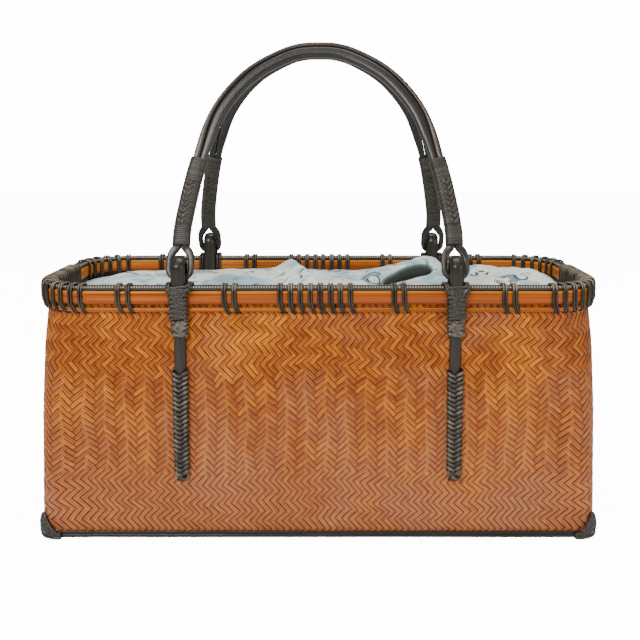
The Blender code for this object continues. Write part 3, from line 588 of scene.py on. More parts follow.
def clothFinish():
    finish, tree, shader = startFinish("pouchCloth", 0.88, 0.25)
    shader.inputs["Sheen Weight"].default_value = 0.25
    shader.inputs["Sheen Roughness"].default_value = 0.5
    fibre = addNode(tree, "ShaderNodeAttribute", attribute_name="fibre")
    shade = addNode(tree, "ShaderNodeAttribute", attribute_name="shade")
    vector = fibre.outputs["Vector"]
    washed = addNode(tree, "ShaderNodeTexNoise", {
        "Vector": vector, "Scale": 32.0, "Detail": 3.0, "Roughness": 0.55, "Distortion": 0.6})
    inked = addNode(tree, "ShaderNodeTexNoise", {
        "Vector": vector, "Scale": 58.0, "Detail": 4.0, "Roughness": 0.6, "Distortion": 1.2})
    tone = addMix(tree, addRange(tree, washed.outputs[0], 0.51, 0.58, smooth=True),
                  clothColours["pale"], clothColours["cream"])
    tone = addMix(tree, addRange(tree, washed.outputs[0], 0.50, 0.41, 0.0, 0.90, smooth=True),
                  tone, clothColours["blue"])
    threads = addNode(tree, "ShaderNodeMapping", {
        "Vector": vector, "Rotation": (0.0, 0.0, 0.5), "Scale": (90.0, 900.0, 90.0)})
    threads = addNode(tree, "ShaderNodeTexNoise", {
        "Vector": threads.outputs[0], "Scale": 1.0, "Detail": 3.0, "Roughness": 0.6})
    tone = addMix(tree, addRange(tree, threads.outputs[0], 0.48, 0.64, 0.0, 0.60), tone,
                  clothColours["blue"])
    ink = addRange(tree, inked.outputs[0], 0.57, 0.64, 0.0, 0.80, smooth=True)
    tone = addMix(tree, ink, tone, clothColours["indigo"])
    # small rings and sprigs set out on a loose grid
    cells = addNode(tree, "ShaderNodeTexVoronoi", {
        "Vector": vector, "Scale": 46.0, "Randomness": 0.75}, voronoi_dimensions="2D")
    ring = addMath(tree, "ABSOLUTE", addMath(tree, "SUBTRACT", cells.outputs["Distance"], 0.17))
    ring = addRange(tree, ring, 0.045, 0.012, smooth=True)
    hue = addNode(tree, "ShaderNodeSeparateColor", {0: cells.outputs["Color"]})
    some = addRange(tree, hue.outputs[0], 0.42, 0.44)
    broken = addRange(tree, inked.outputs[0], 0.42, 0.50)
    motif = addMath(tree, "MULTIPLY", addMath(tree, "MULTIPLY", ring, some), broken)
    tone = addMix(tree, addMath(tree, "MULTIPLY", motif, 0.95), tone, clothColours["line"])
    # painted shade: the low parts between the folds turn towards indigo
    valley = addRange(tree, shade.outputs["Fac"], 0.62, 0.30, 0.0, 0.80)
    tone = addMix(tree, valley, tone, clothColours["indigo"])
    # painted shadow inside the mouth
    tone = addMix(tree, addRange(tree, shade.outputs["Fac"], 0.22, 0.12), tone,
                  clothColours["inside"])
    tree.links.new(tone, shader.inputs["Base Color"])
    warp = addNode(tree, "ShaderNodeTexWave", {
        "Vector": vector, "Scale": 520.0, "Distortion": 1.5, "Detail": 1.0}, bands_direction="X")
    weft = addNode(tree, "ShaderNodeTexWave", {
        "Vector": vector, "Scale": 520.0, "Distortion": 1.5, "Detail": 1.0}, bands_direction="Y")
    weave = addMath(tree, "ADD", warp.outputs["Fac"], weft.outputs["Fac"])
    addBump(tree, shader, weave, 0.25, 0.0002)
    return finish


def floorFinish():
    finish, tree, shader = startFinish("floorPale", 0.9, 0.1)
    shader.inputs["Base Color"].default_value = (*studio["floor"], 1.0)
    shader.inputs["Emission Color"].default_value = (1, 1, 1, 1)
    sight = addNode(tree, "ShaderNodeLightPath").outputs["Is Camera Ray"]
    glow = addMath(tree, "MULTIPLY", sight, studio["floorGlow"])
    tree.links.new(glow, shader.inputs["Emission Strength"])
    return finish


wovenBamboo = wovenBambooFinish()
rimBamboo = rimBambooFinish()
rimCapCane = capFinish()
# the fourth value sets the share of painted highlight on the crowns; a tenth value, where given,
# brightens it
darkCane = caneFinish("darkCane", 26.0, 1.8, 0.20, 0.30, 0.25, 0.12, 1.0, 0.3)
handleCane = caneFinish("handleCane", 14.0, 5.0, 0.90, 0.32, 0.20, 0.08, 1.28)
wrapRattan = caneFinish("wrapRattan", 90.0, 3.0, 0.90, 0.26, 0.10, 0.15, 1.06, 0.25, 4.5)
darkRattan = caneFinish("darkRattan", 90.0, 3.0, 0.50, 0.30, 0.40, 0.30, 1.03)
plaitRattan = caneFinish("plaitRattan", 120.0, 2.0, 0.95, 0.24, 0.30, 0.15, 0.98, 0.4, 3.2)
gripRattan = caneFinish("gripRattan", 60.0, 2.0, 0.65, 0.42, 0.10, 0.30, 1.05)
pouchCloth = clothFinish()
print("finishes made")

# Studio
def addStudio():
    world = bpy.data.worlds.new("studio")
    world.use_nodes = True
    tree = world.node_tree
    sight = addNode(tree, "ShaderNodeLightPath").outputs["Is Camera Ray"]
    strength = addRange(tree, sight, 0.0, 1.0, studio["world"], studio["backdrop"])
    tree.links.new(strength, tree.nodes["Background"].inputs["Strength"])
    tree.nodes["Background"].inputs["Color"].default_value = (1, 1, 1, 1)
    bpy.context.scene.world = world
    for name, place, size, watts in studio["lights"]:
        data = bpy.data.lights.new(name, "AREA")
        data.size = size
        data.energy = watts
        light = bpy.data.objects.new(name, data)
        light.location = place
        aim = Vector((0.0, 0.0, 0.10)) - Vector(place)
        light.rotation_euler = aim.to_track_quat("-Z", "Y").to_euler()
        bpy.context.scene.collection.objects.link(light)
    mesh = bpy.data.meshes.new("floor")
    mesh.from_pydata([(-3, -3, 0), (3, -3, 0), (3, 3, 0), (-3, 3, 0)], [], [(0, 1, 2, 3)])
    mesh.materials.append(floorFinish())
    floor = bpy.data.objects.new("floor", mesh)
    bpy.context.scene.collection.objects.link(floor)


addStudio()

# Woven wall: strips at 45 degrees, each over three and under three
weave = {
    "around": 432,  # half steps of the weave round the basket
    "gap": 0.09,  # share of a strip's width left open
    "columnsFrom": 0.037,  # heights between which the herringbone stands upright
    "columnsTo": 0.091,
    "crown": 0.00115,  # surface height of a strip from the wall's middle
    "core": 0.00035,
    "edgeDrop": 0.00015,
    "endDrop": 0.00070,
    "overlap": 0.36,  # how far a float runs on under the next strip, in cells
    "longest": 5,
    "wander": 0.75,  # how far rows stray, in half steps
}
weaveStep = fullTurn / weave["around"]


def onTop(column, row, height):
    # True where the strip that rises to the right lies on top
    if weave["columnsFrom"] < height < weave["columnsTo"]:
        return column % 6 < 3
    return row % 6 < 3


def wallFloats(lowest, highest):
    # start cell, slope and length of every float on the wall
    rows = range(math.floor(lowest / weaveStep), math.ceil(highest / weaveStep) + 1)
    top = {}
    for row in rows:
        for column in range(weave["around"]):
            if (row + column) % 2 == 0:
                top[column, row] = onTop(column, row, row * weaveStep)
    floats = []
    for (column, row), rising in top.items():
        slope = 1 if rising else -1
        before = ((column - 1) % weave["around"], row - slope)
        if top.get(before) == rising:
            continue
        count = 1
        while top.get(((column + count) % weave["around"], row + slope * count)) == rising:
            count += 1
        while count > weave["longest"]:
            floats.append((column, row, slope, 3))
            column += 3
            row += slope * 3
            count -= 3
        floats.append((column, row, slope, count))
    return floats


def floatGrid(floats, alongShares, acrossShares):
    # points of all floats in cell units, with their heights over the core
    table = np.array(floats, dtype=float)
    column, row, slope, count = (table[:, k][:, None, None] for k in range(4))
    t = np.array(alongShares)[None, :, None]
    v = np.array(acrossShares)[None, None, :]
    reach = 0.5 + weave["overlap"]
    m = -reach + t * (count - 1 + 2 * reach)
    half = 0.5 * (1 - weave["gap"])
    p = column + m + slope * half * v
    q = row + slope * m - half * v
    dive = np.maximum((np.abs(m - (count - 1) / 2) - (count - 1) / 2) / reach, 0.0)
    lift = -weave["endDrop"] * dive ** 3 - weave["edgeDrop"] * v ** 4
    stripId = (column - slope * row) / 2 % 216
    tones = chance.random((2, 217))
    tone = np.where(slope > 0, tones[0][stripId.astype(int)], tones[1][stripId.astype(int)])
    tone = np.clip(tone + chance.normal(0.0, 0.16, tone.shape), 0.0, 1.0)
    fibre = np.stack(np.broadcast_arrays(
        m * weaveStep * 1.414 + column * weaveStep, v * np.ones_like(m), tone * np.ones_like(m)), -1)
    # painted shade where a float dives under the next strip
    shade = 1.0 - np.clip(dive, 0, 1) ** 2 * 0.85
    return p, q, lift, fibre, shade * np.ones_like(p)


def wander(p, q):
    # the hand-woven rows wave a little, least beside the rim and the base
    once = 2 * math.pi / weave["around"]
    height = q * weaveStep
    free = easeShare((height - basket["base"]) / 0.014)
    free = free * easeShare((basket["bandBottom"] - height) / 0.012) * weave["wander"]
    wave = np.sin(p * once * 7 + 1.2 * np.sin(q * 0.11) + q * 0.05)
    wave = wave + 0.6 * np.sin(p * once * 17 - q * 0.13 + 2.0)
    sway = np.sin(q * 0.24 + 1.5 * np.sin(p * once * 5)) + 0.5 * np.sin(p * once * 23 + q * 0.4)
    return p + 0.5 * free * sway, q + free * wave


def addFloats(bag, points, fibre, shade):
    n, rows, columns = points.shape[:3]
    quads = gridQuads(rows, columns)[None] + (np.arange(n) * rows * columns)[:, None, None]
    bag.add(points, quads, fibre, shade)


def wovenWall():
    floats = wallFloats(basket["base"], basket["bandBottom"] + 0.004)
    front = MeshBag()
    back = MeshBag()
    half = weave["around"] / 4
    for bag, inFront in ((front, True), (back, False)):
        chosen = [f for f in floats
                  if ((f[0] + half) % weave["around"] < 2 * half) == inFront]
        p, q, lift, fibre, shade = floatGrid(
            chosen, (0.0, 0.14, 0.34, 0.66, 0.86, 1.0), (-1.0, -0.7, 0.0, 0.7, 1.0))
        p, q = wander(p, q)
        height = np.clip(q * weaveStep, basket["base"] + 0.0004, basket["wallTop"])
        wobble = 0.00006 * np.sin(p * 0.7 + q * 1.3)
        points, _ = wallPoint(p * weaveStep, height, weave["crown"] + lift + wobble)
        addFloats(bag, points, fibre, shade)
    makePiece("wovenWallFront", front, wovenBamboo, replaced=("basket_shell",))
    makePiece("wovenWallBack", back, wovenBamboo, replaced=("basket_shell",))


def rimStations(straightStep=0.004, cornerSteps=12):
    # distances round the rim, close together at the corners
    stops = []
    for quarter in range(4):
        middle = quarter * 2 * quarterRun if quarter % 2 == 0 else None
        half = longRun if quarter % 2 == 0 else shortRun
        start = quarter * quarterRun + (quarter * 0.0 if middle is None else 0.0)
        centre = quarter * quarterRun
        steps = max(2, round(2 * half / straightStep))
        stops.extend(centre - half + 2 * half * i / steps for i in range(steps))
        stops.extend(centre + half + cornerArc * i / cornerSteps for i in range(cornerSteps))
    return np.array(stops)


def roundedProfile(inner, outer, bottom, top, radius, steps=3):
    # (offset, height) counterclockwise from the inner bottom corner
    points = []
    corners = ((inner, bottom, 1, 1, math.pi), (outer, bottom, -1, 1, 1.5 * math.pi),
               (outer, top, -1, -1, 0.0), (inner, top, 1, -1, 0.5 * math.pi))
    for x, y, sideX, sideY, start in corners:
        for i in range(steps + 1):
            angle = start + 0.5 * math.pi * i / steps
            points.append((x + sideX * radius + radius * math.cos(angle),
                           y + sideY * radius + radius * math.sin(angle)))
    return np.array(points)


def bandRound(bag, profile, tone, wobble=0.0, shade=None, low=None):
    # closed band of the profile round the basket, at the rim unless low is set
    stops = rimStations()
    offset = profile[None, :, 0] + wobble * np.sin(stops * 61.0 + 1.0)[:, None]
    height = profile[None, :, 1] + wobble * np.sin(stops * 37.0 + 4.0 * tone)[:, None]
    level = height if low is None else np.full_like(height, low)
    points, _ = wallPoint(stops[:, None], level, offset)
    points[..., 2] = height
    quads = gridQuads(len(stops), len(profile), True, True)[:, ::-1]
    middle = 0.5 * (profile[:, 1].min() + profile[:, 1].max())
    reach = 0.5 * (profile[:, 1].max() - profile[:, 1].min())
    fibre = np.empty(points.shape)
    fibre[..., 0] = stops[:, None]
    fibre[..., 1] = ((profile[:, 1] - middle) / reach)[None, :]
    fibre[..., 2] = tone
    if shade is None:
        shade = 0.5 + 0.5 * (profile[:, 1] - middle) / reach
    bag.add(points, quads, fibre, np.broadcast_to(shade, points.shape[:2]))


def basketCore():
    # the ground behind the strips, closed, with the base; its low shade value paints it near black,
    # painted shade showing through the gaps between strips
    stops = rimStations()
    heights = np.linspace(basket["base"] + 0.0003, basket["wallTop"], 14)
    outside, _ = wallPoint(stops[None, :], heights[:, None], weave["core"])
    inside, _ = wallPoint(stops[None, :], heights[::-1, None], -basket["wallHalf"])
    floorRing = inside[-1:] * (1, 1, 0) + (0, 0, basket["base"] + 0.0022)
    rings = np.concatenate([outside, inside[:-1], floorRing])
    bag = MeshBag()
    quads = gridQuads(len(rings), len(stops), False, True)
    last = (len(rings) - 1) * len(stops)
    quads = np.concatenate([quads, capQuads(len(stops), 0, True), capQuads(len(stops), last)])
    fibre = np.zeros(rings.shape)
    fibre[..., 0] = rings[..., 0]
    fibre[..., 1] = np.sin(rings[..., 2] * 900)
    bag.add(rings, quads, fibre, np.full(rings.shape[:2], 0.12))
    makePiece("basketCore", bag, wovenBamboo, replaced=("basket_shell",))


def wovenBase():
    # the same weave across the underside
    bottom = basket["sections"][0]
    halfX = basket["halfLength"] * bottom[1] - 0.001
    halfY = basket["halfDepth"] * bottom[2] - 0.001
    reachX = math.floor(halfX / weaveStep) - 2
    reachY = math.floor(halfY / weaveStep) - 2
    top = {}
    for row in range(-reachY, reachY + 1):
        for column in range(-reachX, reachX + 1):
            if (row + column) % 2 == 0:
                top[column, row] = column % 6 < 3
    floats = []
    for (column, row), rising in top.items():
        slope = 1 if rising else -1
        if top.get((column - 1, row - slope)) == rising:
            continue
        count = 1
        while top.get((column + count, row + slope * count)) == rising:
            count += 1
        floats.append((column, row, slope, count))
    p, q, lift, fibre, shade = floatGrid(floats, (0.0, 0.3, 0.7, 1.0), (-1.0, 0.0, 1.0))
    points = np.stack([
        np.clip(p * weaveStep, -halfX, halfX),
        -np.clip(q * weaveStep, -halfY, halfY),
        basket["base"] - 0.0001 - lift * 0.5,
    ], -1)
    bag = MeshBag()
    addFloats(bag, points, fibre, shade)
    makePiece("wovenBase", bag, wovenBamboo, replaced=("basket_shell",))


basketCore()
wovenWall()
wovenBase()

# Rim: two split bamboo bands, the cap on top and the thin strip below
rim = {
    "bandRound": 0.0007,
    "capRound": 0.0008,
    "stripOuter": 0.0027,
    "wobble": 0.00008,
    "capTop": 0.137,
    "capBottom": 0.1349,
    "strandHalf": 0.0007,
}


def rimBands():
    bag = MeshBag()
    profile = roundedProfile(basket["bandInner"], basket["bandOuter"], basket["bandBottom"],
                             basket["wallTop"], rim["bandRound"])
    bandRound(bag, profile, 0.30, rim["wobble"])
    makePiece("outerBand", bag, rimBamboo, replaced=("rim_outer_band",))
    bag = MeshBag()
    profile = roundedProfile(-basket["liningOuter"], -basket["bandInner"], basket["bandBottom"],
                             basket["wallTop"], rim["bandRound"])
    bandRound(bag, profile, 0.62, rim["wobble"])
    makePiece("innerBand", bag, rimBamboo, replaced=("rim_inner_band",))
    bag = MeshBag()
    profile = roundedProfile(basket["bandInner"], rim["stripOuter"], basket["stripBottom"],
                             basket["stripTop"], 0.0006)
    bandRound(bag, profile, 0.85, rim["wobble"])
    makePiece("lowerStrip", bag, rimBamboo, replaced=("lower_strip",))
    bag = MeshBag()
    profile = roundedProfile(-basket["liningOuter"], basket["bandOuter"], rim["capBottom"],
                             rim["capTop"], rim["capRound"], 4)
    bandRound(bag, profile, 0.5, 0.0)
    bag.fibre[0] = bag.fibre[0].copy()
    bag.fibre[0][:, 1] = np.tile((profile[:, 0] - 0.0001) / 0.0033, len(rimStations()))
    makePiece("rimCap", bag, rimCapCane, replaced=("rim_cap",))


rimBands()

# Lashing: every wrap is two half-round strands side by side
lashing = {
    "pitch": 0.0052,
    "strandHalf": 0.00070,
    "thickHalf": 0.00048,
    "spread": 0.00070,  # from the wrap's middle to each strand's middle
    "slant": 0.0016,  # how far the lower ends lean to the right
    # groups along the front and back: share of the straight run, wraps
    "sides": ((-0.844, 2), (-0.383, 2), (-0.010, 8), (0.354, 2), (0.831, 2)),
    # corner groups: middle as a share of the corner's arc, wraps, pitch
    "frontCorner": (0.36, 6, 0.0052),
    "backCorner": (0.52, 6, 0.0068),
    "endPitch": 0.0036,
    "endReach": 0.45,
}


def wrapRows():
    # (offset, height, slide) over the rim from inside to outside
    out = basket["bandOuter"] + 0.00075
    inn = basket["liningOuter"] + 0.00075
    top = rim["capTop"] + 0.00075
    slant = lashing["slant"]
    return np.array((
        (-0.0013, basket["bandBottom"] - 0.0012, 0.0),
        (-0.0030, basket["bandBottom"] - 0.0012, 0.0),
        (-inn, basket["bandBottom"] + 0.0006, 0.0),
        (-inn, 0.5 * (basket["bandBottom"] + rim["capTop"]), 0.0),
        (-inn + 0.0002, rim["capTop"] - 0.0010, 0.0),
        (-inn + 0.0014, top - 0.0001, 0.0),
        (0.0001, top, 0.0),
        (out - 0.0014, top - 0.0001, 0.0),
        (out - 0.0002, rim["capTop"] - 0.0010, 0.0),
        (out, 0.5 * (basket["bandBottom"] + rim["capTop"]), 0.0),
        (out - 0.0001, basket["bandBottom"] + 0.0003, 0.10 * slant),
        (rim["stripOuter"] + 0.0005, basket["stripTop"] - 0.0002, 0.70 * slant),
        (rim["stripOuter"] + 0.0003, basket["stripBottom"] + 0.0005, 1.05 * slant),
        (0.0012, basket["stripBottom"] - 0.0008, 1.30 * slant),
        (0.0004, basket["stripBottom"] - 0.0014, 1.40 * slant),
    ))


def addWrap(bag, place, narrow):
    rows = smoothPath(wrapRows(), 2)
    flat = planeOutward(rows[:, :2])
    tone = chance.random()
    for side in (-1, 1):
        shift = place + side * narrow * lashing["spread"] + chance.normal(0.0, 0.00006)
        path, normal = wallPoint(shift + rows[:, 2], rows[:, 1], rows[:, 0])
        outward = flat[:, :1] * normal + flat[:, 1:] * np.array((0.0, 0.0, 1.0))
        wide = narrow * lashing["strandHalf"] * (1 + 0.06 * chance.normal())
        # painted highlight: the wraps brighter where they cross the top of the cap
        paintedGlint = 0.66 + 0.34 * easeShare((rows[:, 1] - rim["capBottom"]) / 0.0016)
        sweep(bag, path, outward, strandSection, wide, lashing["thickHalf"], tone, shade=paintedGlint)


def lashingGroups():
    # middle, wraps and pitch of every group round the rim
    groups = []
    pitch = lashing["pitch"]
    for start, flip in ((0.0, 1), (2 * quarterRun, -1)):
        for share, count in lashing["sides"]:
            groups.append((start + flip * share * longRun, count, pitch))
    share, frontCount, frontPitch = lashing["frontCorner"]
    front = longRun + share * cornerArc
    share, backCount, backPitch = lashing["backCorner"]
    back = 2 * quarterRun - longRun - share * cornerArc
    first = front + (frontCount - 1) / 2 * frontPitch + 0.0040
    last = quarterRun + lashing["endReach"] * shortRun
    endCount = int((last - first) / lashing["endPitch"]) + 1
    for flip in (1, -1):
        groups.append((flip * front, frontCount, frontPitch))
        groups.append((flip * (first + last) / 2, endCount, lashing["endPitch"]))
        groups.append((flip * back, backCount, backPitch))
    return groups


def rimLashing():
    bag = MeshBag()
    for middle, count, pitch in lashingGroups():
        narrow = min(1.0, 0.8 * pitch / 0.0034)
        for i in range(count):
            jitter = chance.normal(0.0, 0.0001)
            addWrap(bag, middle + (i - (count - 1) / 2) * pitch + jitter, narrow)
    stops = rimStations()
    path, normal = wallPoint(stops, basket["bandBottom"] - 0.0010, -0.0024)
    sweep(bag, path, normal, roundSection(8), 0.0007, 0.0008, 0.4, closed=True)
    nodes = [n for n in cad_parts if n.startswith("lashing_")]
    makePiece("rimLashing", bag, wrapRattan, replaced=nodes)


rimLashing()

# Struts, their loops and the knots and braids that bind them
strut = {
    "spacing": 0.1437,
    "length": 0.104,
    "width": 0.0062,
    "thick": 0.0022,
    "tailWidth": 0.0062,
    "loopWidth": 0.0074,
    "loopThick": 0.0034,
    "loopRise": 0.0155,
    "knotWidth": 0.0114,
    "knotDrop": 0.017,
    "secondWidth": 0.0087,
    "secondHeight": 0.009,
    "tieWidth": 0.0083,
    "tieEndWidth": 0.0078,
    "tieHeight": 0.0555,
    "tieAboveTail": 0.0035,
    "gap": 0.0003,
}
corners = [(f"{front}_{side}", sideX, sideY)
           for front, sideY in (("front", -1), ("back", 1))
           for side, sideX in (("left", -1), ("right", 1))]


def wallOffset(height):
    # how far the wall's middle stands out from its place at the rim
    point, _ = wallPoint(0.0, height, 0.0)
    return -point[..., 1] - basket["halfDepth"]


def strutRows():
    # (offset, height, half width, half thickness) from inside over the loop and down
    half = strut["loopThick"] / 2
    outer = basket["bandOuter"] + strut["gap"] + half
    inner = basket["liningOuter"] + strut["gap"] + half
    centre = (outer - inner) / 2
    radius = (outer + inner) / 2
    spring = basket["rimTop"] + strut["loopRise"] - half - radius
    width = strut["loopWidth"] / 2
    rows = [(-inner, basket["bandBottom"] - 0.0005, width, half)]
    rows.append((-inner, basket["rimTop"], width, half))
    for i in range(7):
        angle = math.pi * (1 - i / 6)
        rows.append((centre + radius * math.cos(angle), spring + radius * math.sin(angle),
                     width, half))
    flat = strut["thick"] / 2
    rows.append((outer, basket["bandBottom"] + 0.004, width, half))
    rows.append((basket["bandOuter"] + strut["gap"] + flat, basket["stripBottom"] - 0.0006,
                 strut["width"] / 2, flat))
    bottom = basket["rimTop"] - strut["length"]
    tieTop = bottom + strut["tieAboveTail"] + strut["tieHeight"]
    for height, half in ((0.1165, strut["width"] / 2), (0.104, strut["width"] / 2),
                         (tieTop, strut["width"] / 2), (bottom + 0.030, 0.0023),
                         (bottom + 0.005, 0.0022), (bottom, strut["tailWidth"] / 2)):
        rows.append((float(wallOffset(height)) + basket["bandInner"] + flat, height, half, flat))
    return np.array(rows)


def placed(sideX, sideY, across, offset, height):
    # point beside a strut's middle line, offset out from the wall at the rim
    across, offset, height = np.broadcast_arrays(across, offset, height)
    x = sideX * strut["spacing"] / 2 + across
    return np.stack([x, sideY * (basket["halfDepth"] + offset), height], -1)


def addStrut(name, sideX, sideY):
    rows = smoothPath(strutRows(), 5)
    flat = planeOutward(rows[:, :2])
    path = placed(sideX, sideY, 0.0, rows[:, 0], rows[:, 1])
    outward = np.stack([np.zeros(len(flat)), sideY * flat[:, 0], flat[:, 1]], -1)
    bag = MeshBag()
    sweep(bag, path, outward, strapSection, rows[:, 2], rows[:, 3])
    makePiece(f"{name}Strut", bag, darkCane, replaced=(f"{name}_strut",))


def turnPath(sideX, sideY, height, halfWidth, front, back, tilt, bulge=0.0003):
    # one turn over the strut's face, from the wall to the wall, and its outward direction
    bend = 0.0014
    rows = np.array((
        (-halfWidth, back, 0.0),
        (-halfWidth, front - bend, 0.1),
        (-halfWidth + 0.35 * bend, front - 0.3 * bend, 0.2),
        (-halfWidth + bend, front, 0.3),
        (0.0, front + bulge, 0.5),
        (halfWidth - bend, front, 0.7),
        (halfWidth - 0.35 * bend, front - 0.3 * bend, 0.8),
        (halfWidth, front - bend, 0.9),
        (halfWidth, back, 1.0),
    ))
    rows = smoothPath(rows, 3)
    flat = planeOutward(rows[:, :2])
    path = placed(sideX, sideY, rows[:, 0], rows[:, 1], height + tilt * (rows[:, 2] - 0.5))
    outward = np.stack([flat[:, 0], sideY * flat[:, 1], np.zeros(len(flat))], -1)
    return path, outward


def addTwistedTurn(bag, sideX, sideY, height, halfWidth, front, back, tilt):
    # two thin strands twisted together round the strut
    path, outward = turnPath(sideX, sideY, height, halfWidth, front, back, tilt)
    phase = chance.random() * 2 * math.pi
    for turn in (0.0, math.pi):
        addTwist(bag, path, outward, 0.00036, 0.0034, phase + turn, 0.00066)


def addRimKnot(name, sideX, sideY):
    bag = MeshBag()
    top = basket["rimTop"] + 0.0002
    bottom = basket["rimTop"] - strut["knotDrop"] + 0.001
    back = basket["bandOuter"] + strut["gap"] + 0.0003
    turns = 15
    for i in range(turns):
        share = i / (turns - 1)
        height = top + (bottom - top) * share
        front = 0.0071 - 0.0009 * share
        waist = 0.0005 * math.sin(math.pi * share)
        half = strut["knotWidth"] / 2 - 0.0006 - 0.0006 * share - waist + chance.normal(0.0, 0.0001)
        tilt = 0.0011 * (-1) ** i + chance.normal(0.0, 0.0003)
        addTwistedTurn(bag, sideX, sideY, height, half, front, back, tilt)
    # strands that lean out to the cap on both sides of the loop
    for side in (-1, 1):
        for start, drop in ((0.0016, 0.0072), (0.0027, 0.0046)):
            rows = smoothPath(np.array((
                (side * (start - 0.0006), 0.0072, top - drop),
                (side * (start + 0.0010), 0.0074, top - 0.55 * drop),
                (side * (start + 0.0024), 0.0070, top - 0.2 * drop),
                (side * (start + 0.0031), 0.0058, top + 0.0002),
            )), 4)
            path = placed(sideX, sideY, rows[:, 0], rows[:, 1], rows[:, 2])
            sweep(bag, path, (0.0, sideY, 0.0), strandSection, 0.0007, 0.0005)
    # strands over the rim beside the loop, under the ring's bar
    arm = strut["loopWidth"] / 2 + 0.0010
    over = np.array((
        (0.0062, basket["rimTop"] - 0.0030), (0.0060, basket["rimTop"] + 0.0006),
        (0.0046, basket["rimTop"] + 0.0014), (0.0010, basket["rimTop"] + 0.0015),
        (-0.0024, basket["rimTop"] + 0.0012), (-0.0040, basket["rimTop"] - 0.0002),
        (-0.0041, basket["bandBottom"] + 0.003), (-0.0034, basket["bandBottom"] - 0.0006),
    ))
    rows = smoothPath(over, 3)
    flat = -planeOutward(rows)
    for side in (-1, 1):
        for shift, spread in ((0.0, 0.0), (0.0010, 0.0008)):
            lean = side * (arm + shift + spread * np.linspace(0, 1, len(rows)))
            path = placed(sideX, sideY, lean, rows[:, 0], rows[:, 1])
            outward = np.stack([np.zeros(len(flat)), sideY * flat[:, 0], flat[:, 1]], -1)
            sweep(bag, path, outward, strandSection, 0.00075, 0.00052)
    makePiece(f"{name}RimKnot", bag, darkRattan, replaced=(f"{name}_rim_knot",))


def addSecondKnot(name, sideX, sideY):
    bag = MeshBag()
    top = basket["rimTop"] - strut["knotDrop"] - 0.0010
    low = top - strut["secondHeight"] + 0.0016
    turns = 8
    for i in range(turns):
        height = top + (low - top) * i / (turns - 1)
        wall = float(wallOffset(height)) + basket["bandInner"]
        front = wall + strut["thick"] + 0.0009
        half = strut["secondWidth"] / 2 - 0.0005
        tilt = 0.0015 * (-1) ** i + chance.normal(0.0, 0.0004)
        addTwistedTurn(bag, sideX, sideY, height, half, front, wall, tilt)
    # two pairs of strands crossed over the turns
    wall = float(wallOffset(0.5 * (top + low))) + basket["bandInner"] + strut["thick"] + 0.0014
    reach = strut["secondWidth"] / 2 - 0.0009
    for lean in (-1, 1):
        for high, deep in ((top + 0.0002, 0.5 * (top + low)), (0.5 * (top + low) + 0.0008, low)):
            rows = smoothPath(np.array((
                (-lean * reach, wall - 0.0006, high),
                (-lean * 0.4 * reach, wall, high + 0.38 * (deep - high)),
                (lean * 0.4 * reach, wall, high + 0.70 * (deep - high)),
                (lean * reach, wall - 0.0006, deep),
            )), 3)
            path = placed(sideX, sideY, rows[:, 0], rows[:, 1], rows[:, 2])
            sweep(bag, path, (0.0, sideY, 0.0), strandSection, 0.00072, 0.00045)
    makePiece(f"{name}SecondKnot", bag, plaitRattan,
              replaced=(f"{name}_second_knot",))


def addBraid(name, sideX, sideY):
    bag = MeshBag()
    bottom = basket["rimTop"] - strut["length"] + strut["tieAboveTail"]
    count = 22
    for i in range(count):
        share = (i + 0.3) / count
        height = bottom + strut["tieHeight"] * share
        wall = float(wallOffset(height)) + basket["bandInner"]
        half = 0.5 * (strut["tieEndWidth"] + (strut["tieWidth"] - strut["tieEndWidth"]) * share)
        front = wall + strut["thick"] + 0.0009
        for side in (-1, 1):
            lag = 0.0006 if side > 0 else 0.0
            rows = smoothPath(np.array((
                (-side * 0.0007, front - 0.0007, -0.0013),
                (side * 0.0006, front, -0.0006),
                (side * 0.5 * half, front + 0.00025, 0.0002),
                (side * (half - 0.0007), front - 0.0003, 0.0009),
                (side * (half - 0.0003), front - 0.0013, 0.0014),
                (side * (half - 0.0004), wall, 0.0017),
            )), 2)
            path = placed(sideX, sideY, rows[:, 0], rows[:, 1], height + lag + rows[:, 2])
            flat = planeOutward(np.stack([rows[:, 0] * side, rows[:, 1]], -1))
            outward = np.stack([side * flat[:, 0], sideY * flat[:, 1], np.zeros(len(flat))], -1)
            # painted glints, brightest halfway along each stitch
            paintedGlint = np.interp(np.linspace(0, 1, len(rows)), (0.0, 0.25, 0.5, 0.75, 1.0),
                               (0.50, 0.75, 1.0, 0.70, 0.45))
            sweep(bag, path, outward, strandSection, 0.00098, 0.00055, shade=paintedGlint)
    # the cut end curls out to the side
    wall = float(wallOffset(bottom)) + basket["bandInner"] + strut["thick"] + 0.0002
    rows = smoothPath(np.array((
        (-0.0014, wall + 0.0005, 0.0016), (-0.0010, wall + 0.0007, -0.0006),
        (0.0006, wall + 0.0007, -0.0019), (0.0026, wall + 0.0005, -0.0021),
        (0.0038, wall - 0.0002, -0.0012),
    )), 4)
    path = placed(sideX, sideY, rows[:, 0], rows[:, 1], bottom + rows[:, 2])
    sweep(bag, path, (0.0, sideY, 0.0), strandSection, 0.0009, 0.0005)
    makePiece(f"{name}Braid", bag, plaitRattan, replaced=(f"{name}_braid_tie",))


for cornerName, cornerX, cornerY in corners:
    addStrut(cornerName, cornerX, cornerY)
    addRimKnot(cornerName, cornerX, cornerY)
    addSecondKnot(cornerName, cornerX, cornerY)
    addBraid(cornerName, cornerX, cornerY)

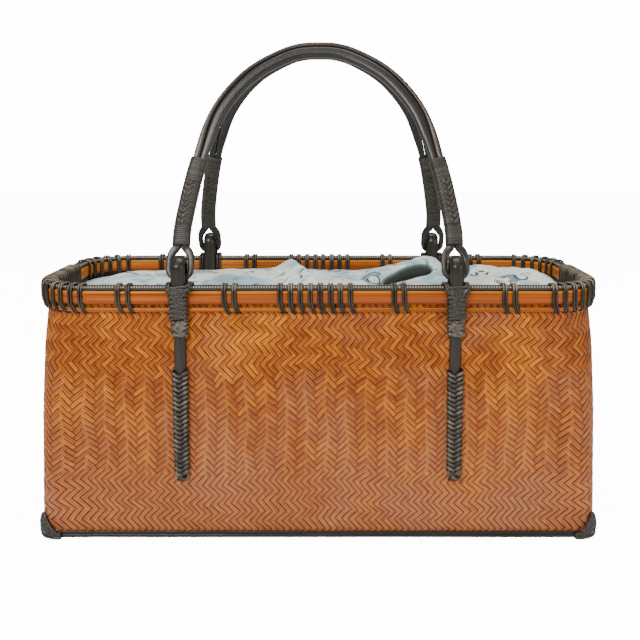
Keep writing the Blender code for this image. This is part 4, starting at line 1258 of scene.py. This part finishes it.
# Handles: two canes side by side, bent into a ring at each foot
handle = {
    "rise": 0.1317,
    "cane": 0.0044,
    "legCane": 0.0037,
    "depth": 0.0050,
    "gap": 0.00005,
    "seamShift": 0.42,  # how much narrower the outer cane is at the crown
    "wire": 0.0031,
    "ringWidth": 0.0146,
    "ringCorner": 0.0046,
    "gripStart": 0.0165,
    "gripHeight": 0.0495,
    "hinge": 0.141,
    "lean": 22.625,
    # middle line of the arch: shares of the strut spacing and of the rise
    "arch": (
        (0.000, 1.000), (0.070, 0.995), (0.138, 0.970), (0.236, 0.908), (0.312, 0.829),
        (0.378, 0.725), (0.421, 0.607), (0.452, 0.485), (0.474, 0.373), (0.497, 0.213),
        (0.500, 0.120),
    ),
    # half of the ring: shares outward and up, and how much thicker it is there
    "ring": ((0.50, 0.93, 0.0006), (0.88, 0.78, 0.0005), (1.0, 0.62, 0.0001), (1.0, 0.40, 0.0)),
}


def archLine(steps=44):
    # points and outward directions on the right half of the arch, top to foot
    rows = np.array(handle["arch"]) * (strut["spacing"], handle["rise"])
    rows = np.concatenate([rows[1:2] * (-1, 1), rows])
    line = smoothPath(rows, 4)[4:]
    run = unit(np.gradient(line, axis=0))
    run[0] = (1.0, 0.0)
    return line, np.stack([-run[:, 1], run[:, 0]], -1)


def caneHalf(height):
    t = easeShare((height - handle["gripStart"] - handle["gripHeight"]) / (0.35 * handle["gripHeight"]))
    return (handle["legCane"] + (handle["cane"] - handle["legCane"]) * t) / 2


def halfCane(side):
    # (across, up, half width, half depth) from the arch's top to the ring's bottom
    line, normal = archLine()
    rows = []
    for point, out in zip(line, normal):
        if point[1] < handle["gripStart"]:
            break
        half = float(caneHalf(point[1]))
        above = (point[1] - handle["gripStart"] - handle["gripHeight"]) / 0.03
        own = half * (1 - side * handle["seamShift"] * easeShare(above))
        shifted = point + side * out * (2 * half - own + handle["gap"] / 2)
        rows.append((*shifted, own, handle["depth"] / handle["cane"] * half))
    middle = strut["spacing"] / 2
    wire = handle["wire"] / 2
    halfRing = handle["ringWidth"] / 2 - wire
    lean = handle["legCane"] / 2 + handle["gap"] / 2
    ring = [(middle + side * lean, handle["gripStart"], handle["legCane"] / 2, handle["legCane"] / 2)]
    for across, up, thicker in handle["ring"]:
        ring.append((middle + side * (lean + (halfRing - lean) * across - thicker),
                     up * handle["gripStart"], wire + thicker, wire))
    for i in range(5):
        angle = 0.5 * math.pi * i / 4
        across = halfRing - handle["ringCorner"] * (1 - math.cos(angle))
        ring.append((middle + side * across, handle["ringCorner"] * (1 - math.sin(angle)), wire, wire))
    ring.append((middle, 0.0, wire, wire))
    while rows and rows[-1][1] < handle["gripStart"] + 0.002:
        rows.pop()
    ring = smoothPath(np.array([rows[-1]] + ring), 3)[1:]
    return np.concatenate([np.array(rows), ring])


def handlePlane(sideY):
    lean = math.radians(handle["lean"])
    up = np.array((0.0, -sideY * math.sin(lean), math.cos(lean)))
    out = np.array((0.0, sideY * math.cos(lean), math.sin(lean)))
    foot = np.array((0.0, sideY * basket["halfDepth"], handle["hinge"]))
    return foot, up, out


def inPlane(plane, across, up, out):
    foot, upward, outward = plane
    across, up, out = np.broadcast_arrays(across, up, out)
    return (foot + across[..., None] * np.array((1.0, 0.0, 0.0))
            + up[..., None] * upward + out[..., None] * outward)


def addHandle(front, sideY):
    plane = handlePlane(sideY)
    outer = halfCane(1)
    inner = halfCane(-1)
    right = np.concatenate([outer, inner[-2::-1]])
    left = right[1:-1][::-1] * (-1, 1, 1, 1)
    rows = np.concatenate([right, left])
    # painted shade: the inner cane is darker than the outer one, as its under side lies in shadow; the
    # ring at each foot is set darker too
    share = np.concatenate([
        np.full(len(outer), 1.0), np.full(len(inner) - 1, 0.35)])
    shade = np.concatenate([share, share[1:-1][::-1]])
    shade = np.where(rows[:, 1] < handle["gripStart"] + 0.001, 0.62, shade)
    path = inPlane(plane, rows[:, 0], rows[:, 1], np.zeros(len(rows)))
    bag = MeshBag()
    section = roundSection(16, 3.4)
    sweep(bag, path, plane[2], section, rows[:, 2], rows[:, 3], 0.5, closed=True)
    # painted highlight along each cane's crown, painted shade on its back
    crown = bag.shade[0].reshape(len(rows), len(section))
    bag.shade[0] = ((0.55 + 0.45 * crown) * shade[:, None]).reshape(-1)
    makePiece(f"{front}Handle", bag, handleCane, f"{front}_handle",
              (f"{front}_handle_cane",))


grip = {
    "turn": 0.00110,
    "halfWidth": 0.00455,
    "halfDepth": 0.0031,
    "strandThick": 0.00012,
    "patternFrom": 0.23,  # shares of the grip's height, from the fork
    "patternTo": 0.73,
    "stitches": 8,
}


def gripFrame(share):
    # middle of the two canes and its outward direction at a share of the grip
    line, normal = archLine()
    target = handle["gripStart"] + 0.0004 + handle["gripHeight"] * np.asarray(share)
    order = np.argsort(line[:, 1])
    heights = line[order, 1]
    across = np.interp(target, heights, line[order, 0])
    nx = np.interp(target, heights, normal[order, 0])
    ny = np.interp(target, heights, normal[order, 1])
    return np.stack([across, target], -1), np.stack([nx, ny], -1)


def addGrip(front, side, sideX, sideY):
    plane = handlePlane(sideY)
    bag = MeshBag()
    around = 28
    angle = 2 * math.pi * np.arange(around) / around
    ringX = np.sign(np.cos(angle)) * np.abs(np.cos(angle)) ** 0.62
    ringY = np.sign(np.sin(angle)) * np.abs(np.sin(angle)) ** 0.62
    turns = round(handle["gripHeight"] / grip["turn"])
    profile = np.array(((-0.5, -1.0), (-0.42, 0.35), (-0.2, 0.9), (0.0, 1.0), (0.2, 0.9),
                        (0.42, 0.35), (0.5, -1.0)))
    shares = []
    lifts = []
    for i in range(turns):
        middle = (i + 0.5) / turns
        edge = 1.0
        for mark in (grip["patternFrom"], grip["patternTo"]):
            if abs(middle - mark) < 0.6 / turns:
                edge = -1.2
        for place, lift in profile:
            shares.append(middle + place / turns)
            lifts.append(lift * grip["strandThick"] * edge * (1 + 0.15 * chance.normal()))
    shares = np.clip(np.array(shares), 0.0, 1.0)
    lifts = np.array(lifts)
    taper = easeShare(np.minimum(shares, 1 - shares) * 30 + 0.55)
    centre, normal = gripFrame(shares)
    reach = (grip["halfWidth"] + lifts)[:, None] * ringX[None, :] * taper[:, None]
    depth = (grip["halfDepth"] + lifts)[:, None] * ringY[None, :] * taper[:, None]
    across = centre[:, :1] + normal[:, :1] * reach
    up = centre[:, 1:] + normal[:, 1:] * reach
    points = inPlane(plane, sideX * across, up, depth)
    quads = gridQuads(len(shares), around, False, True)
    if sideX * sideY > 0:
        quads = quads[:, ::-1]
    fibre = np.empty(points.shape)
    fibre[..., 0] = (angle * 0.005)[None, :]
    fibre[..., 1] = np.tile(profile[:, 0] * 2, turns)[:, None]
    fibre[..., 2] = np.repeat(chance.random(turns), len(profile))[:, None]
    # painted light on the wrap: raised turns brighter, sunken turns darker
    shade = np.clip(0.62 + 0.4 * lifts / grip["strandThick"], 0, 1)
    bag.add(points, quads, fibre, np.broadcast_to(shade[:, None], points.shape[:2]))
    # plaited stitches over the outer half of the face
    count = grip["stitches"]
    for face in (-1, 1):
        for i in range(count):
            share = grip["patternFrom"] + (grip["patternTo"] - grip["patternFrom"]) * (i + 0.6) / count
            for lean in (-1, 1):
                offsets = np.array((
                    (-lean * 0.0004, 0.0000, -0.0013), (lean * 0.0007, 0.0003, -0.0004),
                    (lean * 0.0017, 0.0002, 0.0009), (lean * 0.0023, -0.0004, 0.0018),
                ))
                offsets = smoothPath(offsets, 3)
                middle, tilt = gripFrame(share + offsets[:, 2] / handle["gripHeight"])
                slide = 0.0010 + offsets[:, 0]
                path = inPlane(plane, sideX * (middle[:, 0] + tilt[:, 0] * slide),
                               middle[:, 1] + tilt[:, 1] * slide,
                               face * (grip["halfDepth"] + offsets[:, 1]))
                sweep(bag, path, face * plane[2], strandSection, 0.00085, 0.00028)
    makePiece(f"{front}{side.capitalize()}Grip", bag, gripRattan,
              f"{front}_handle", (f"{front}_{side}_grip",))


for frontName, frontY in (("front", -1), ("back", 1)):
    addHandle(frontName, frontY)
    for sideName, sideSign in (("left", -1), ("right", 1)):
        addGrip(frontName, sideName, sideSign, frontY)

# Base rail and the plaited corner guards
foot = {
    "railInner": 0.0012,
    "railOuter": 0.0026,
    "railHeight": 0.0024,
    "railBottom": 0.0006,
    "reach": 0.013,
    "height": 0.014,
    "sole": 0.0014,
    "lip": 0.0050,
    "wall": 0.0013,
}


def baseRail():
    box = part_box("base_rail")
    outer = box[1][0] - basket["halfLength"] * basket["sections"][0][1]
    inner = outer - (foot["railOuter"] - foot["railInner"])
    bag = MeshBag()
    level = basket["base"]
    low = foot["railBottom"]
    top = level + foot["railHeight"]
    split = low + 0.55 * (top - low)
    profile = roundedProfile(inner, outer, low, split, 0.0006)
    bandRound(bag, profile, 0.2, 0.00004, 0.95, level)
    profile = roundedProfile(inner, outer - 0.0002, split, top, 0.0004)
    bandRound(bag, profile, 0.7, 0.00004, 0.30, level)
    makePiece("baseRail", bag, darkCane, replaced=("base_rail",))
    return outer


def footStations(steps, radius, centre, straight):
    # places round a lower corner and how far each is from the middle
    total = 2 * straight + 0.5 * math.pi * radius
    rows = []
    for i in range(steps + 1):
        run = total * i / steps
        share = abs(2 * i / steps - 1)
        if run < straight:
            rows.append((centre[0] - straight + run, centre[1], 0.0, 1.0, share))
        elif run > total - straight:
            rows.append((centre[0], centre[1] - (run - total + straight), 1.0, 0.0, share))
        else:
            angle = (run - straight) / radius
            rows.append((centre[0], centre[1], math.sin(angle), math.cos(angle), share))
    return np.array(rows)


def addFoot(name, sideX, sideY, railOuter):
    bottom = basket["sections"][0]
    radius = basket["corner"] * bottom[3]
    centre = (basket["halfLength"] * bottom[1] - radius, basket["halfDepth"] * bottom[2] - radius)
    inner = railOuter + 0.0003
    outer = inner + foot["wall"] - 0.0004
    straight = foot["reach"] - radius - outer
    rows = footStations(16, radius, centre, straight)
    height = foot["sole"] + (foot["height"] - foot["sole"]) * (1 - rows[:, 4]) ** 1.5
    height = np.maximum(height, basket["base"] + 0.8 * foot["railHeight"])
    section = []
    for offset, level in ((outer - 0.0003, 0.0), (outer, 0.0006), (outer, 1.0), (inner, 1.0),
                          (inner, foot["sole"]), (-foot["lip"], foot["sole"]),
                          (-foot["lip"], 0.0), (0.0, 0.0)):
        level = height if level == 1.0 else np.full(len(rows), level)
        spot = rows[:, :2] + rows[:, 2:4] * (radius + offset)
        section.append(np.stack([sideX * spot[:, 0], sideY * spot[:, 1], level], -1))
    points = np.stack(section, 1)
    bag = MeshBag()
    quads = gridQuads(len(rows), 8, False, True)
    last = (len(rows) - 1) * 8
    quads = np.concatenate([quads, capQuads(8, 0, True), capQuads(8, last)])
    if sideX * sideY < 0:
        quads = quads[:, ::-1]
    fibre = np.zeros(points.shape)
    fibre[..., 0] = np.arange(len(rows))[:, None] * 0.001
    bag.add(points, quads, fibre, np.full(points.shape[:2], 0.35))

    def edgePath(lift, offset):
        spot = rows[:, :2] + rows[:, 2:4] * (radius + offset)
        level = np.clip(height + lift, 0.0012, foot["height"])
        path = np.stack([sideX * spot[:, 0], sideY * spot[:, 1], level], -1)
        normal = np.stack([sideX * rows[:, 2], sideY * rows[:, 3], 0 * rows[:, 2]], -1)
        return path, normal

    # twisted edge along the top, then rows of strands below it
    path, normal = edgePath(-0.0006, outer - 0.0001)
    path = smoothPath(path, 3)
    normal = unit(smoothPath(normal, 3))
    for phase in (0.0, math.pi):
        addTwist(bag, path, normal, 0.00055, 0.0030, phase, 0.00075)
    for drop in (0.0026, 0.0048, 0.0070, 0.0092):
        keep = height - drop > 0.0012
        if keep.sum() < 4:
            continue
        path, normal = edgePath(-drop, outer)
        path = smoothPath(path[keep], 2)
        normal = unit(smoothPath(normal[keep], 2))
        for phase in (0.0, math.pi):
            addTwist(bag, path, normal, 0.00045, 0.0032, phase + drop * 900, 0.00072)
    base = np.full(len(rows), 0.0009)
    spot = rows[:, :2] + rows[:, 2:4] * (radius + outer)
    path = np.stack([sideX * spot[:, 0], sideY * spot[:, 1], base], -1)
    normal = np.stack([sideX * rows[:, 2], sideY * rows[:, 3], 0 * base], -1)
    sweep(bag, path, normal, strandSection, 0.0008, 0.0005)
    makePiece(f"{name}Foot", bag, darkRattan, replaced=(f"{name}_foot",))


railOuter = baseRail()
for cornerName, cornerX, cornerY in corners:
    addFoot(cornerName, cornerX, cornerY, railOuter)

# Cloth pouch: its top is gathered into folds round a narrow mouth
pouch = {
    "thick": 0.0008,
    "gap": 0.0015,  # from the wall's middle to the cloth
    "edge": 0.1252,  # height where the cloth leaves the wall
    "plateau": 0.1288,
    "floor": 0.0045,
    "mouth": (0.0531, 0.0128),
    "mouthLength": 0.062,
    "mouthWidth": 0.0095,
    "mouthTurn": 50.0,
    "around": 224,
    "flat": (0.78, 0.20),
    # from x, y to x, y, height there and there, width to the left and right of the run
    "folds": (
        (-0.118, 0.030, -0.096, -0.030, 0.0022, 0.0030, 0.016, 0.016),
        (-0.076, 0.004, -0.034, -0.008, 0.0048, 0.0052, 0.016, 0.013),
        (-0.060, 0.040, -0.028, 0.034, 0.0012, 0.0022, 0.014, 0.014),
        (-0.016, 0.036, -0.003, -0.030, 0.0086, 0.0060, 0.0065, 0.010),
        (0.014, -0.024, 0.070, 0.043, 0.0046, 0.0096, 0.021, 0.0065),
        (0.076, 0.030, 0.092, -0.030, 0.0044, 0.0030, 0.012, 0.010),
        (0.094, -0.012, 0.128, -0.002, 0.0056, 0.0060, 0.008, 0.012),
        (0.098, 0.036, 0.126, 0.026, 0.0040, 0.0044, 0.012, 0.014),
    ),
    "valleys": (
        (0.012, 0.034, 0.022, -0.010, 0.0016, 0.0036, 0.009, 0.007),
        (-0.024, -0.012, -0.020, 0.020, 0.0026, 0.0014, 0.005, 0.005),
        (0.092, 0.024, 0.112, 0.010, 0.0016, 0.0014, 0.004, 0.005),
        (-0.090, 0.020, -0.060, 0.026, 0.0012, 0.0012, 0.006, 0.006),
    ),
}


def foldRise(x, y, fold):
    startX, startY, endX, endY, tall, tallEnd, left, right = fold
    run = np.array((endX - startX, endY - startY))
    length = np.linalg.norm(run)
    run = run / length
    along = (x - startX) * run[0] + (y - startY) * run[1]
    across = (y - startY) * run[0] - (x - startX) * run[1]
    bend = 0.0022 * np.sin(along * 55.0 + startX * 300)
    across = across + bend
    width = np.where(across > 0, left, right)
    beyond = np.maximum(np.maximum(-along, along - length), 0.0)
    body = np.exp(-(np.abs(across) / width) ** 1.8 - (beyond / 0.011) ** 2)
    tall = tall + (tallEnd - tall) * np.clip(along / length, 0.0, 1.0)
    return tall * body


def clothTop(x, y, share):
    rise = np.zeros_like(x)
    for fold in pouch["folds"]:
        rise = rise + foldRise(x, y, fold) ** 4
    rise = rise ** 0.25
    for valley in pouch["valleys"]:
        rise = rise - foldRise(x, y, valley)
    ripple = 0.00040 * np.sin(x * 210 + 3 * np.sin(y * 90)) * np.sin(y * 170 + 2 * np.sin(x * 70))
    ripple = ripple + 0.00016 * np.sin(x * 520 - y * 380 + 2 * np.sin(x * 160))
    blend = easeShare(share / 0.15)
    base = pouch["edge"] + (pouch["plateau"] - pouch["edge"]) * blend
    return base + (rise + ripple) * blend, rise


def pouchOutline(length, depth, radius, count):
    angle = 2 * math.pi * np.arange(count) / count
    x = np.cos(angle) * length
    y = np.sin(angle) * depth
    stretch = np.maximum(np.abs(x) / length, np.abs(y) / depth)
    x = x / stretch
    y = y / stretch
    overX = np.abs(x) - (length - radius)
    overY = np.abs(y) - (depth - radius)
    size = np.maximum(np.hypot(overX, overY), 1e-9)
    inCorner = (overX > 0) & (overY > 0)
    cornerX = np.sign(x) * (length - radius + overX / size * radius)
    cornerY = np.sign(y) * (depth - radius + overY / size * radius)
    return np.where(inCorner, cornerX, x), np.where(inCorner, cornerY, y)


def clothPouch():
    count = pouch["around"]
    rows = np.array(basket["sections"])
    span = basket["shoulder"] - basket["base"]
    rings = []
    fibres = []
    shades = []
    thick = pouch["thick"]
    for height in np.linspace(pouch["floor"], pouch["edge"] - 0.002, 12):
        share = np.clip((height - basket["base"]) / span, 0, 1)
        length = basket["halfLength"] * np.interp(share, rows[:, 0], rows[:, 1]) - pouch["gap"]
        depth = basket["halfDepth"] * np.interp(share, rows[:, 0], rows[:, 2]) - pouch["gap"]
        corner = basket["corner"] * np.interp(share, rows[:, 0], rows[:, 3]) - pouch["gap"]
        x, y = pouchOutline(length, depth, max(corner, 0.004), count)
        rings.append(np.stack([x, y, np.full(count, height)], -1))
        fibres.append(np.stack([x * 1.1, y * 1.1 + height, np.zeros(count)], -1))
        shades.append(np.ones(count))
    edgeX, edgeY = pouchOutline(basket["halfLength"] - pouch["gap"] - 0.0006,
                                basket["halfDepth"] - pouch["gap"] - 0.0006,
                                basket["corner"] - pouch["gap"], count)
    angle = 2 * math.pi * np.arange(count) / count
    turn = math.radians(pouch["mouthTurn"])
    slitX = np.cos(angle - turn) * pouch["mouthLength"] / 2
    slitY = np.sin(angle - turn) * pouch["mouthWidth"] / 2
    mouthX = pouch["mouth"][0] + slitX * math.cos(turn) - slitY * math.sin(turn)
    mouthY = pouch["mouth"][1] + slitX * math.sin(turn) + slitY * math.cos(turn)
    for share in np.linspace(0.0, 1.0, 64):
        x = edgeX + (mouthX - edgeX) * share
        y = edgeY + (mouthY - edgeY) * share
        swell = easeShare((share - 0.25) / 0.45) * easeShare((1.02 - share) / 0.3)
        gather = 0.0011 * swell * np.sin(angle * 23 + 3 * np.sin(angle * 3))
        z, rise = clothTop(x, y, np.full(count, share))
        rings.append(np.stack([x, y, z + gather], -1))
        fibres.append(np.stack([x, y, np.zeros(count)], -1))
        # painted shade: lower between the folds and in the gathers
        low = 0.48 + rise * 130 + gather * 160
        shades.append(np.clip(low, 0, 1))
    lipX = pouch["mouth"][0] + (mouthX - pouch["mouth"][0]) * 0.8
    lipY = pouch["mouth"][1] + (mouthY - pouch["mouth"][1]) * 0.8
    for drop in (0.002, 0.006, 0.012):
        z, _ = clothTop(lipX, lipY, np.ones(count))
        rings.append(np.stack([lipX, lipY, z - drop], -1))
        fibres.append(np.stack([lipX, lipY + drop, np.zeros(count)], -1))
        # painted shadow down inside the mouth
        shades.append(np.full(count, 0.18 if drop < 0.003 else 0.05))
    outside = np.stack(rings)
    fibre = np.stack(fibres)
    shade = np.stack(shades)
    # inner side, one cloth's thickness behind the outer one
    alongRing = np.roll(outside, -1, 1) - np.roll(outside, 1, 1)
    acrossRing = np.gradient(outside, axis=0)
    normal = unit(np.cross(alongRing, acrossRing))
    inside = outside - normal * thick
    bag = MeshBag()
    points = np.concatenate([outside, inside[::-1]])
    quads = gridQuads(len(points), count, False, True)
    last = (len(points) - 1) * count
    quads = np.concatenate([quads, capQuads(count, 0, True), capQuads(count, last)])
    # the cloth's inner side gets painted shade, 0.8 of the outer side's value
    bag.add(points, quads, np.concatenate([fibre, fibre[::-1]]),
            np.concatenate([shade, shade[::-1] * 0.8]))
    piece = makePiece("clothPouch", bag, pouchCloth, replaced=("pouch",))


clothPouch()
